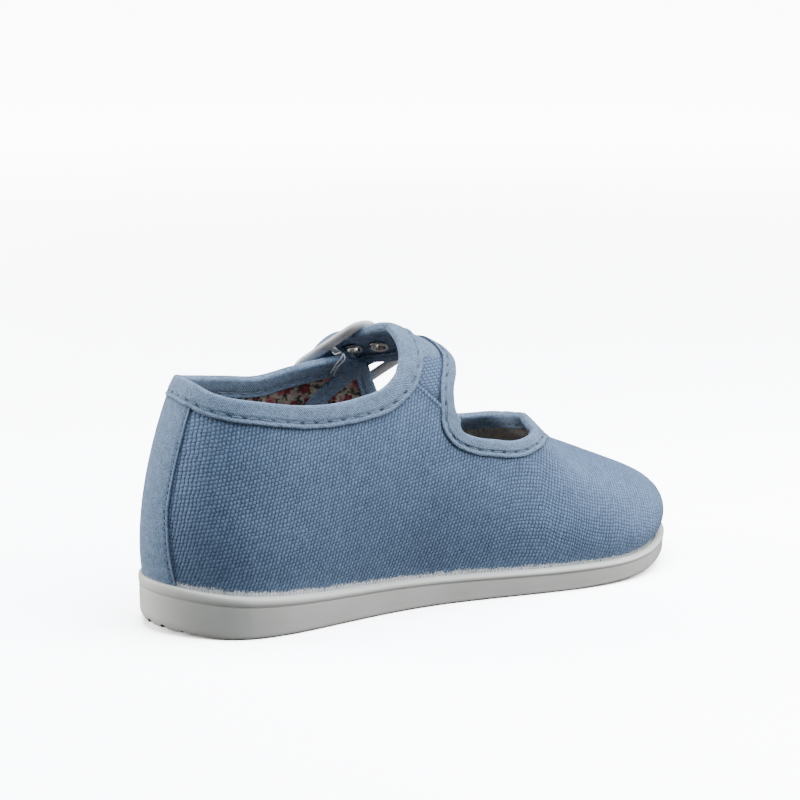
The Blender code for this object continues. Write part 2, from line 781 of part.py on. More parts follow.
clear_scene()
SHOE = bpy.data.collections.new("mary_jane_shoe")
bpy.context.scene.collection.children.link(SHOE)
CUTTERS = bpy.data.collections.new("cutters")
bpy.context.scene.collection.children.link(CUTTERS)
main()
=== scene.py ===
"""Looks of a child's canvas mary jane shoe for the left foot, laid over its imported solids.

Every cloth piece lies on one last, a surface of twelve rows round the foot, so the pieces meet
here as they do in the solids. Tables are in millimetres, with the back of the sole at x = 0, the
toe towards +x and the outer side of the foot towards +y. A place on the last is a pair: the turn
round it (0 heel, 0.25 inner waist, 0.5 toe) and the share of the climb from the sole to the crown.
"""

import logging
import math
from dataclasses import dataclass, field
from enum import Enum
from typing import ClassVar

import bpy
import numpy as np
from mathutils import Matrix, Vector


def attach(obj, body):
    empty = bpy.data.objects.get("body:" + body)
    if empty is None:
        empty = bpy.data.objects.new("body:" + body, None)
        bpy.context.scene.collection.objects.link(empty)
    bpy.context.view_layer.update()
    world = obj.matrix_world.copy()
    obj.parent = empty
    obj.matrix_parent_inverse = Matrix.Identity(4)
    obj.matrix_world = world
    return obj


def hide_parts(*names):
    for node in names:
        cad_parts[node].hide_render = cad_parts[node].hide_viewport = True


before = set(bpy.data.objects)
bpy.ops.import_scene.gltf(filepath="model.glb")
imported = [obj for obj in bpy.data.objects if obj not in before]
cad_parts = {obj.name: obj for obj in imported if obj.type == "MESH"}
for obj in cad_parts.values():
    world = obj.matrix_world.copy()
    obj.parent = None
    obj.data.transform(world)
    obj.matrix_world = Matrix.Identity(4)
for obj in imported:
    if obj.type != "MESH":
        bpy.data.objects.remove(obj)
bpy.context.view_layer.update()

LOG = logging.getLogger("mary_jane")

Socket = bpy.types.NodeSocket
Rgba = tuple[float, float, float, float]
Pair = tuple[float, float]
Point = tuple[float, float, float]

# Metres in a millimetre, where the frame's origin lies in the tables, and the turn of the toe
MM = 0.001
ORIGIN = np.array((79.278, 0.690, 0.0))
TOE = 0.5

# The last, one row each twelfth of the way round: outline at the sole (x, y), first handle of the
# climbing curve (flare, rise), crown (x, z) and the handle that arrives there (run, drop)
X, Y, FLARE, RISE, CROWN_X, CROWN_Z, RUN, DROP = range(8)
LAST_ROWS = (
    (1.7, 0.0, 2.8, 21.5, 26.2, 84.8, 12.4, 10.4),
    (12.0, -16.3, 3.5, 22.0, 31.0, 84.8, 20.0, 9.1),
    (32.5, -21.7, 4.0, 24.0, 47.0, 80.8, 22.0, 4.0),
    (69.0, -19.4, 7.5, 26.0, 75.0, 71.8, 20.0, 0.0),
    (107.0, -25.5, 4.0, 17.5, 99.0, 57.8, 18.6, 4.0),
    (139.5, -25.1, 7.2, 6.5, 106.5, 46.4, 27.0, 14.3),
    (156.3, -3.0, 10.6, 16.3, 106.5, 46.4, 32.8, 21.5),
    (140.0, 19.8, 5.2, 10.0, 106.5, 46.4, 27.0, 14.3),
    (105.0, 28.0, 3.0, 17.5, 99.0, 57.8, 20.6, 4.0),
    (68.0, 25.0, 3.0, 26.0, 75.0, 71.8, 22.0, 0.0),
    (33.0, 21.2, 4.0, 24.0, 47.0, 80.8, 22.0, 4.0),
    (12.0, 16.3, 3.5, 22.0, 31.0, 84.8, 20.0, 9.1),
)

# Along the shoe: x, height of the sole's top edge, height of its tread
TOP, TREAD = 1, 2
SOLE_ROWS = (
    (0.0, 14.4, 0.0),
    (12.0, 12.4, 0.0),
    (30.0, 10.5, 0.0),
    (70.0, 8.2, 0.0),
    (115.0, 6.85, 0.0),
    (137.0, 7.1, 1.2),
    (160.0, 10.6, 5.8),
)

# Side of the sole from tread to seat: how far out, share of the height, lift, share of heel bevel
SOLE_SIDE = (
    (0.6, 0.00, 0.0, 0.5),
    (2.25, 0.00, 0.15, 1.0),
    (2.5, 0.25, 0.0, 0.6),
    (2.6, 0.67, 0.0, 0.0),
    (2.45, 0.74, 0.0, 0.0),
    (2.82, 0.79, 0.0, 0.0),
    (2.82, 0.87, 0.0, 0.0),
    (2.3, 0.935, 0.0, 0.0),
    (0.9, 0.95, 0.1, 0.0),
    (0.3, 0.95, -0.3, 0.0),
    (0.3, 1.00, -1.2, 0.0),
)

# Cut edges of the canvas and of the strap, as rows of (turn, climb)
COLLAR = (
    (-0.2615, 0.655), (-0.2455, 0.657), (-0.2260, 0.622), (-0.2083, 0.593), (-0.1851, 0.564),
    (-0.1524, 0.573), (-0.0900, 0.596), (-0.0400, 0.620), (0.0000, 0.625), (0.0360, 0.616),
    (0.0722, 0.592), (0.1280, 0.566), (0.1713, 0.547), (0.1892, 0.546), (0.2137, 0.566),
    (0.2322, 0.608), (0.2405, 0.657), (0.2430, 0.678),
)
STRAP_REAR = (
    (0.2430, 0.678), (0.2478, 0.765), (0.2485, 0.850), (0.2468, 0.930), (0.2458, 1.000),
    (0.2466, 1.100), (0.2471, 1.160), (0.2460, 1.210), (0.2433, 1.255), (0.2397, 1.300),
    (0.2354, 1.350), (0.2310, 1.400), (0.2221, 1.500), (0.2129, 1.590),
)
STRAP_FRONT = (
    (0.2758, 0.535), (0.2796, 0.670), (0.2858, 0.760), (0.2898, 0.840), (0.2898, 0.920),
    (0.2870, 1.000), (0.2850, 1.110), (0.2842, 1.200), (0.2820, 1.250), (0.2776, 1.300),
    (0.2728, 1.350), (0.2685, 1.400), (0.2604, 1.500), (0.2512, 1.600), (0.2444, 1.665),
)
THROAT = (
    (0.2758, 0.535), (0.2763, 0.515), (0.2795, 0.491), (0.2905, 0.477), (0.3062, 0.491),
    (0.3191, 0.511), (0.3279, 0.537), (0.3424, 0.601), (0.3603, 0.697), (0.3850, 0.788),
    (0.4050, 0.834), (0.4300, 0.869), (0.4620, 0.893), (0.5000, 0.896), (0.5380, 0.895),
    (0.5690, 0.868), (0.5910, 0.818), (0.6090, 0.750), (0.6467, 0.592), (0.6700, 0.524),
    (0.6920, 0.490), (0.7100, 0.488), (0.7215, 0.522), (0.7290, 0.575), (0.7385, 0.655),
)
EYELET_PLACES = ((0.2637, 1.222), (0.2550, 1.326), (0.2467, 1.423), (0.2369, 1.537))

# Over the crown: climb of the strap's middle, and how far it stands off the last there
STRAP_STAND_OFF = (
    (1.000, 0.0), (1.100, 0.1), (1.174, 0.6), (1.218, 1.3), (1.278, 3.2), (1.315, 4.8),
    (1.353, 5.7), (1.397, 6.0), (1.442, 5.6), (1.487, 5.1), (1.516, 4.9), (1.576, 4.7),
    (1.700, 4.5),
)
# Its middle is found by a skew over the turn, and it begins just under the crown
LIFT_SKEW = 2.355
LIFT_MIDDLE = 0.2543
LIFT_FROM = 0.99

# Upward flare of the throat's front edge: how high, from how far below, round which turn
LIP_RISE = 2.7
LIP_REACH = 0.10
LIP_MIDDLE = 0.535
LIP_SPREAD = 0.15
LIP_MOST = 1.3

# Thickness of canvas and lining, the lowest climb where normals are read, and the cloth value of
# places that have no edge near them
WALL = 1.5
LOWEST_FACING = 0.002
NO_EDGE = 9.0

# Reach of the collar's tape over the outer face: steps along the tape from COLLAR_END, which lies
# just past the collar's front end, and millimetres
COLLAR_LEGS = ((-8, 5.2), (2, 5.9), (9, 5.9), (13, 3.6))
COLLAR_END = 42

# Reach of the throat's tape, and where it is gathered
THROAT_LEG = 4.0
THROAT_BUNCH = (0.2762, 0.525)


class Slot(Enum):
    """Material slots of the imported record."""

    SOLE = "sole"
    INSOLE = "insole"
    CANVAS = "canvas"
    HEEL_TAPE = "heel_tape"
    BINDING = "binding_tape"
    ELASTIC = "elastic"
    STRAP = "strap_tape"
    EYELET = "eyelet_metal"
    BUCKLE = "buckle_white"


@dataclass(frozen=True)
class Crease:
    """A soft trough or ridge of the canvas between two places on the last.

    A negative depth is a trough and a positive one a ridge, in millimetres.
    """

    start: Pair
    end: Pair
    width: float
    depth: float


CREASES = (
    Crease((0.262, 0.42), (0.225, 0.20), 6.0, -0.50),
    Crease((0.300, 0.40), (0.285, 0.16), 7.0, 0.35),
    Crease((0.335, 0.50), (0.352, 0.22), 6.5, -0.40),
    Crease((0.120, 0.46), (0.150, 0.14), 9.0, -0.35),
    Crease((0.070, 0.50), (0.082, 0.20), 6.0, 0.30),
    Crease((0.400, 0.60), (0.420, 0.30), 8.0, 0.30),
    Crease((0.445, 0.78), (0.545, 0.80), 5.0, -0.30),
    Crease((0.2430, 0.676), (0.2758, 0.533), 1.5, 0.35),
    Crease((0.640, 0.46), (0.655, 0.20), 6.0, -0.40),
    Crease((0.745, 0.44), (0.720, 0.20), 7.0, -0.45),
    Crease((0.860, 0.46), (0.850, 0.16), 8.0, -0.35),
    Crease((0.925, 0.50), (0.915, 0.20), 6.0, 0.30),
)


@dataclass
class Last:
    """The foot form that the upper is pulled over, a smooth closed spline through its rows."""

    rows: np.ndarray = field(default_factory=lambda: np.array(LAST_ROWS))
    step: float = 1e-4
    dense: int = 40
    bend: np.ndarray = field(init=False)

    def __post_init__(self) -> None:
        """Solves the second derivatives of the closed spline."""
        count = len(self.rows)
        ring = np.eye(count)
        system = 4 * ring + np.roll(ring, 1, 0) + np.roll(ring, -1, 0)
        bump = np.roll(self.rows, -1, 0) - 2 * self.rows + np.roll(self.rows, 1, 0)
        self.bend = np.linalg.solve(system, 6 * bump)

    def row(self, turn: np.ndarray) -> np.ndarray:
        """Columns of the last at a turn.

        Args:
            turn: Places round the last.

        Returns:
            The eight columns of LAST_ROWS at each place.
        """
        place = np.mod(turn, 1.0) * len(self.rows)
        low = np.floor(place).astype(int) % len(self.rows)
        high = (low + 1) % len(self.rows)
        t = (place - np.floor(place))[..., None]
        s = 1 - t
        curve = self.bend[low] * (s**3 - s) + self.bend[high] * (t**3 - t)
        return self.rows[low] * s + self.rows[high] * t + curve / 6

    def outline(self, turn: np.ndarray, out: np.ndarray | float = 0.0) -> tuple[np.ndarray, np.ndarray]:
        """Plan of the last, moved outwards.

        Args:
            turn: Places round the last.
            out: Distance outwards in millimetres.

        Returns:
            The plan points and the outward directions.
        """
        plan = self.row(turn)[..., [X, Y]]
        run = self.row(turn + self.step)[..., [X, Y]] - self.row(turn - self.step)[..., [X, Y]]
        outward = unit(np.stack([run[..., 1], -run[..., 0]], -1))
        return plan + outward * np.asarray(out)[..., None], outward

    def surface(self, turn: np.ndarray, climb: np.ndarray) -> np.ndarray:
        """Outer face of the upper.

        Args:
            turn: Places round the last.
            climb: Shares of the climb; above one the place is past the crown, on the other side.

        Returns:
            Points in millimetres.
        """
        turn, climb = np.broadcast_arrays(np.asarray(turn, float), np.asarray(climb, float))
        over = climb > 1
        turn = np.where(over, 1 - turn, turn)
        climb = np.where(over, 2 - climb, climb)
        row = self.row(turn)
        plan, outward = self.outline(turn)
        foot = np.concatenate([plan, along(SOLE_ROWS, plan[..., 0], TOP)[..., None]], -1)
        crown = np.stack([row[..., CROWN_X], 0 * turn, row[..., CROWN_Z]], -1)
        away = unit(foot[..., :2] - crown[..., :2])
        rising = foot + np.concatenate([outward * row[..., [FLARE]], row[..., [RISE]]], -1)
        arriving = crown + np.concatenate([away * row[..., [RUN]], -row[..., [DROP]]], -1)
        t = climb[..., None]
        s = 1 - t
        face = foot * s**3 + 3 * rising * s**2 * t + 3 * arriving * s * t**2 + crown * t**3
        face[..., 2] += self.throat_lip(turn, climb)
        return face

    def throat_lip(self, turn: np.ndarray, climb: np.ndarray) -> np.ndarray:
        """How far the front of the throat flares up towards its edge.

        Args:
            turn: Places round the last.
            climb: Shares of the climb.

        Returns:
            The rise in millimetres.
        """
        near = along(THROAT, turn, 1) - LIP_REACH
        rise = np.clip((climb - near) / LIP_REACH, 0, LIP_MOST)
        return LIP_RISE * rise**2 * np.clip(1 - ((turn - LIP_MIDDLE) / LIP_SPREAD) ** 2, 0, 1)

    def slopes(self, turn: np.ndarray, climb: np.ndarray) -> tuple[np.ndarray, np.ndarray]:
        """Directions of the surface round the last and up it, per unit of turn and climb.

        Args:
            turn: Places round the last.
            climb: Shares of the climb.

        Returns:
            The slopes round the last and the slopes up it.
        """
        across = self.surface(turn + self.step, climb) - self.surface(turn - self.step, climb)
        upward = self.surface(turn, climb + self.step) - self.surface(turn, climb - self.step)
        return across / (2 * self.step), upward / (2 * self.step)

    def facing(self, turn: np.ndarray, climb: np.ndarray) -> np.ndarray:
        """Unit normals of the upper, outwards."""
        return unit(np.cross(*self.slopes(turn, climb)))

    def walk(self, turn: np.ndarray, climb: np.ndarray, heading: np.ndarray,
             distance: np.ndarray | float, steps: int = 4) -> tuple[np.ndarray, np.ndarray]:
        """Moves over the surface along a heading given in space.

        Args:
            turn: Places round the last to start from.
            climb: Shares of the climb to start from.
            heading: Directions in space.
            distance: Millimetres to go.
            steps: Straight steps that the way is divided into.

        Returns:
            The turn and the climb that are reached.
        """
        for _ in range(steps):
            across, upward = self.slopes(turn, climb)
            aa = (across * across).sum(-1)
            bb = (upward * upward).sum(-1)
            ab = (across * upward).sum(-1)
            ha = (heading * across).sum(-1)
            hb = (heading * upward).sum(-1)
            det = aa * bb - ab * ab
            turn = turn + distance / steps * (ha * bb - hb * ab) / det
            climb = climb + distance / steps * (hb * aa - ha * ab) / det
        return turn, climb

    def through(self, knots: tuple, count: int) -> np.ndarray:
        """Evenly spaced places along the smooth path through rows of (turn, climb).

        Args:
            knots: Rows of (turn, climb) that the path goes through.
            count: How many places.

        Returns:
            The places, as rows of (turn, climb).
        """
        knots = np.array(knots)
        table = np.column_stack([travelled(self.surface(*knots.T)), knots])
        dense = np.linspace(0, table[-1, 0], self.dense * len(knots))
        path = np.column_stack([along(table, dense, 1), along(table, dense, 2)])
        length = travelled(self.surface(*path.T))
        even = np.linspace(0, length[-1], count)
        return np.column_stack([np.interp(even, length, path[:, axis]) for axis in (0, 1)])

    def strap_lift(self, turn: np.ndarray, climb: np.ndarray) -> np.ndarray:
        """How far the strap stands off the last where the buckle and the quarter lie under it."""
        level = climb - LIFT_SKEW * (turn - LIFT_MIDDLE)
        return np.where(climb < LIFT_FROM, 0.0, along(STRAP_STAND_OFF, level, 1))

    def relief(self, points: np.ndarray) -> np.ndarray:
        """Height of the creases over the smooth canvas at points on it, in millimetres.

        Args:
            points: Points on the smooth canvas.

        Returns:
            The height at each point.
        """
        height = np.zeros(points.shape[:-1])
        for crease in CREASES:
            ends = np.array([crease.start, crease.end])
            start, end = self.surface(*ends.T)
            run = end - start
            share = ((points - start) @ run) / (run @ run)
            aside = np.linalg.norm(points - start - np.clip(share, 0, 1)[..., None] * run, axis=-1)
            fade = np.clip(1.25 - np.abs(share - 0.5) * 1.5, 0, 1)
            height += crease.depth * fade**2 * np.exp(-((aside / crease.width) ** 2))
        return height


def unit(vectors: np.ndarray) -> np.ndarray:
    """Vectors of length one along the last axis."""
    return vectors / np.linalg.norm(vectors, axis=-1, keepdims=True)


def travelled(points: np.ndarray, axis: int = 0) -> np.ndarray:
    """Distance up to each point of a line, or of a grid along one of its axes."""
    steps = np.linalg.norm(np.diff(points, axis=axis), axis=-1)
    return np.insert(np.cumsum(steps, axis), 0, 0.0, axis)


def round_angles(count: int) -> np.ndarray:
    """Angles of evenly spaced points round a circle."""
    return np.linspace(0, 2 * math.pi, count + 1)[:-1]


def along(table: tuple | np.ndarray, x: np.ndarray, column: int) -> np.ndarray:
    """A smooth line through a column of a table whose first column is x.

    Args:
        table: Rows in order of x.
        x: Where the line is read.
        column: Which column it goes through.

    Returns:
        The value of the line at each x.
    """
    rows = np.array(table)
    slope = np.gradient(rows[:, column], rows[:, 0])
    x = np.clip(x, rows[0, 0], rows[-1, 0])
    i = np.clip(np.searchsorted(rows[:, 0], x) - 1, 0, len(rows) - 2)
    width = rows[i + 1, 0] - rows[i, 0]
    t = (x - rows[i, 0]) / width
    start = (2 * t**3 - 3 * t**2 + 1) * rows[i, column] + (t**3 - 2 * t**2 + t) * width * slope[i]
    end = (3 * t**2 - 2 * t**3) * rows[i + 1, column] + (t**3 - t**2) * width * slope[i + 1]
    return start + end


def wavering(length: np.ndarray, rate: float) -> np.ndarray:
    """An uneven wave along a length, within about one either way."""
    return (0.5 * np.sin(rate * length + 0.3) + 0.35 * np.sin(2.3 * rate * length + 1.7)
            + 0.2 * np.sin(5.1 * rate * length + 2.2))


def rounded(knots: tuple | np.ndarray, steps: int) -> np.ndarray:
    """Points along a smooth open line through knots.

    Args:
        knots: Rows of coordinates.
        steps: Points from one knot to the next.

    Returns:
        The points, ending at the last knot.
    """
    knots = np.array(knots, float)
    ends = np.concatenate([[2 * knots[0] - knots[1]], knots, [2 * knots[-1] - knots[-2]]])
    t = np.arange(steps)[:, None] / steps
    line = []
    for a, b, c, d in zip(ends, ends[1:], ends[2:], ends[3:]):
        line.append(b + (c - a) * t / 2 + (a - 2.5 * b + 2 * c - d / 2) * t**2
                    + (1.5 * b - a / 2 - 1.5 * c + d / 2) * t**3)
    return np.concatenate(line + [knots[-1:]])


LAST = Last()


@dataclass
class Skin:
    """Points and faces of one piece while it is made, in millimetres.

    The cloth of a corner is where it lay in the flat cloth: along, across, and how far it is from
    the edge that matters to its finish.
    """

    points: list[np.ndarray] = field(default_factory=list)
    faces: list[tuple[int, ...]] = field(default_factory=list)
    cloth: list[np.ndarray] = field(default_factory=list)
    count: int = 0

    def grid(self, points: np.ndarray, cloth: np.ndarray | None = None, closed: bool = False,
             ring: bool = False) -> np.ndarray:
        """Adds a sheet of points in rows and columns.

        Args:
            points: Rows by columns by three.
            cloth: The same grid in the flat cloth, with one column more where the sheet is closed.
            closed: Whether the last column meets the first.
            ring: Whether the last row meets the first.

        Returns:
            The numbers of the points, as rows by columns.
        """
        rows, columns = points.shape[:2]
        ids = self.count + np.arange(rows * columns).reshape(rows, columns)
        self.points.append(points.reshape(-1, 3))
        self.count += rows * columns
        across = np.concatenate([ids, ids[:, :1]], 1) if closed else ids
        across = np.concatenate([across, across[:1]]) if ring else across
        self.quads(across, cloth)
        return ids

    def quads(self, ids: np.ndarray, cloth: np.ndarray | None = None) -> None:
        """Adds the faces between rows of points that are already there.

        Args:
            ids: Numbers of the points, as rows by columns.
            cloth: The same grid in the flat cloth.
        """
        a, b = ids[:-1, :-1], ids[:-1, 1:]
        c, d = ids[1:, 1:], ids[1:, :-1]
        faces = np.stack([a, b, c, d], -1).reshape(-1, 4)
        self.faces += [tuple(face) for face in faces.tolist()]
        if cloth is None:
            self.cloth.append(np.zeros((4 * len(faces), 3)))
            return
        corners = [cloth[:-1, :-1], cloth[:-1, 1:], cloth[1:, 1:], cloth[1:, :-1]]
        self.cloth.append(np.stack(corners, -2).reshape(-1, 3))

    def cap(self, loop: np.ndarray) -> None:
        """Closes a loop of points with one face."""
        self.faces.append(tuple(int(i) for i in loop))
        self.cloth.append(np.zeros((len(loop), 3)))

    def across(self, loop: np.ndarray) -> None:
        """Closes a loop round the shoe with strips from its inner to its outer side.

        Args:
            loop: Numbers of the points, in order round the shoe.
        """
        ids = [int(i) for i in loop]
        half = len(ids) // 2
        strips = [(ids[0], ids[1], ids[-1])]
        strips += [(ids[k], ids[k + 1], ids[-k - 1], ids[-k]) for k in range(1, half - 1)]
        strips.append((ids[half - 1], ids[half], ids[half + 1]))
        self.faces += strips
        self.cloth.append(np.zeros((sum(len(strip) for strip in strips), 3)))

    def slab(self, rings: list[np.ndarray], cloth: list[np.ndarray]) -> None:
        """Adds rings round the shoe and closes the first and the last of them.

        Args:
            rings: Points of each ring.
            cloth: The same rings in the flat cloth, each ending with its first point again.
        """
        ids = self.grid(np.array(rings), np.array(cloth), closed=True)
        self.across(ids[0])
        self.across(ids[-1])

    def made(self, name: str, material: bpy.types.Material,
             smooth: float = 60.0) -> bpy.types.Object:
        """Turns the piece into a mesh object at the origin, with its faces outwards.

        Args:
            name: Name of the piece.
            material: Its finish.
            smooth: Edges sharper than this angle in degrees stay sharp.

        Returns:
            The new object.
        """
        points = np.concatenate(self.points)
        faces = self.faces
        cloth = np.concatenate(self.cloth)
        thirds = np.array([(face[0], *pair) for face in faces for pair in zip(face[1:], face[2:])])
        first, second, third = (points[thirds[:, k]] for k in range(3))
        if (first * np.cross(second, third)).sum() < 0:
            starts = np.cumsum([0] + [len(face) for face in faces])
            order = [np.arange(b - 1, a - 1, -1) for a, b in zip(starts, starts[1:])]
            cloth = cloth[np.concatenate(order)]
            faces = [face[::-1] for face in faces]
        mesh = bpy.data.meshes.new(name)
        mesh.from_pydata((points - ORIGIN) * MM, [], faces)
        layer = mesh.attributes.new("cloth", "FLOAT_VECTOR", "CORNER")
        layer.data.foreach_set("vector", cloth.astype(np.float32).ravel())
        mesh.materials.append(material)
        mesh.shade_smooth()
        mesh.set_sharp_from_angle(angle=math.radians(smooth))
        return added(name, mesh)


def added(name: str, data: bpy.types.ID) -> bpy.types.Object:
    """Adds a new object to the scene, at the origin.

    Args:
        name: Name of the object.
        data: Its mesh, light or camera.

    Returns:
        The object.
    """
    made = bpy.data.objects.new(name, data)
    bpy.context.scene.collection.objects.link(made)
    return made


def shell(outer: np.ndarray, inner: np.ndarray, cloth: np.ndarray) -> Skin:
    """A sheet with a thickness: a grid, the grid behind it, and the edge between them.

    Args:
        outer: Points of the front, rows by columns by three.
        inner: Points of the back.
        cloth: The same grid in the flat cloth.

    Returns:
        The closed sheet.
    """
    skin = Skin()
    front = skin.grid(outer, cloth)
    back = skin.grid(inner[:, ::-1], cloth[:, ::-1])[:, ::-1]
    for line, facing in ((front[0], back[0]), (front[-1][::-1], back[-1][::-1]),
                         (front[::-1, 0], back[::-1, 0]), (front[:, -1], back[:, -1])):
        skin.quads(np.stack([facing, line]))
    return skin


def tube(skin: Skin, rings: np.ndarray, cloth: np.ndarray | None = None) -> None:
    """Adds a tube with flat ends, whose rings are closed loops of points.

    Args:
        skin: The piece that it is added to.
        rings: Rings by points by three.
        cloth: The same grid in the flat cloth, with one column more.
    """
    ids = skin.grid(rings, cloth, closed=True)
    skin.cap(ids[0])
    skin.cap(ids[-1])


def as_plain_mesh(piece: bpy.types.Object) -> bpy.types.Object:
    """Replaces a piece's mesh by its evaluated one and removes its modifiers.

    Args:
        piece: The piece with its modifiers.

    Returns:
        The same piece.
    """
    view = bpy.context.evaluated_depsgraph_get()
    mesh = bpy.data.meshes.new_from_object(piece.evaluated_get(view), depsgraph=view)
    piece.modifiers.clear()
    piece.data = mesh
    return piece


def cut_away(piece: bpy.types.Object, tool: bpy.types.Object) -> bpy.types.Object:
    """Cuts a tool's shape out of a piece and removes the tool.

    Args:
        piece: The piece to cut.
        tool: The shape to take away.

    Returns:
        The same piece.
    """
    cut = piece.modifiers.new("cut", "BOOLEAN")
    cut.operation = "DIFFERENCE"
    cut.solver = "EXACT"
    cut.object = tool
    as_plain_mesh(piece)
    bpy.data.objects.remove(tool, do_unlink=True)
    return piece


@dataclass
class FlatCloth:
    """Where the places of the upper lay in its flat cloth, with the yarns at a slant to the shoe.

    Along the cloth goes the outline of the heel and waist, and from the throat on the middle of
    the vamp. Across it goes the distance up the cross-section of the last from the sole.
    """

    slant: float = 17.0
    join: float = 107.0
    vamp_from: float = 88.0
    vamp_over: float = 26.0
    reach: Pair = (0.5, 165.0)
    stations: int = 180
    levels: int = 50
    samples: int = 240
    waist_samples: int = 200
    vamp_samples: int = 300
    width: float = field(init=False, default=0.0)

    def __post_init__(self) -> None:
        """Measures the cross-sections of both sides of the last."""
        stations, levels, samples = self.stations, self.levels, self.samples
        self.climbs = np.linspace(0, 1, levels)
        waist = LAST.outline(np.linspace(0, 1 / 3, self.waist_samples))[0]
        vamp = LAST.surface(np.full(self.vamp_samples, TOE), np.linspace(1, 0, self.vamp_samples))
        waist = waist[waist[:, 0] < self.join]
        vamp = vamp[vamp[:, 0] > self.join]
        length = travelled(vamp)
        self.long_x = np.concatenate([waist[:, 0], vamp[:, 0]])
        self.long = np.concatenate([travelled(waist), travelled(waist)[-1] + 1 + length])
        order = np.argsort(self.long_x)
        self.long_x, self.long = self.long_x[order], np.sort(self.long)
        self.xs = np.linspace(*self.reach, stations)
        self.rise, self.drop = [], []
        for start, end in ((0.0, TOE), (1.0, TOE)):
            turns = np.linspace(start, end, samples)
            middle = LAST.surface(np.full(levels, TOE), self.climbs)[:, 0]
            points = np.zeros((stations, levels, 3))
            for number, climb in enumerate(self.climbs):
                x = np.maximum.accumulate(LAST.surface(turns, np.full(samples, climb))[:, 0])
                turn = np.interp(self.xs, x, turns)
                points[:, number] = LAST.surface(turn, np.full(stations, climb))
            rise = travelled(points, 1)
            top = np.interp(self.xs, middle[::-1], self.climbs[::-1])
            whole = np.array([np.interp(t, self.climbs, line) for t, line in zip(top, rise)])
            share = np.clip((self.xs - self.vamp_from) / self.vamp_over, 0, 1)
            share = share**2 * (3 - 2 * share)
            self.rise.append(rise)
            self.drop.append(-np.cumsum(share * np.gradient(whole)))
            self.width = self.width + whole[-1] + self.drop[-1][-1]

    def places(self, turn: np.ndarray, climb: np.ndarray) -> np.ndarray:
        """Cloth places of points of the last.

        Args:
            turn: Places round the last, from 0 to 1.
            climb: Shares of the climb.

        Returns:
            Two values for each point: across the upright yarns, and along them.
        """
        x = LAST.surface(turn, climb)[..., 0]
        station = np.interp(x, self.xs, np.arange(len(self.xs)))
        level = np.interp(climb, self.climbs, np.arange(len(self.climbs)))
        i = np.minimum(station.astype(int), len(self.xs) - 2)
        k = np.minimum(level.astype(int), len(self.climbs) - 2)
        a, b = station - i, level - k
        across = []
        for rise, drop in zip(self.rise, self.drop):
            low = rise[i, k] * (1 - a) + rise[i + 1, k] * a
            high = rise[i, k + 1] * (1 - a) + rise[i + 1, k + 1] * a
            across.append(low * (1 - b) + high * b + np.interp(x, self.xs, drop))
        across = np.where(turn < TOE, across[0], self.width - across[1])
        length = np.interp(x, self.long_x, self.long)
        slant = math.radians(self.slant)
        cos, sin = math.cos(slant), math.sin(slant)
        return np.stack([length * cos - across * sin, length * sin + across * cos], -1)


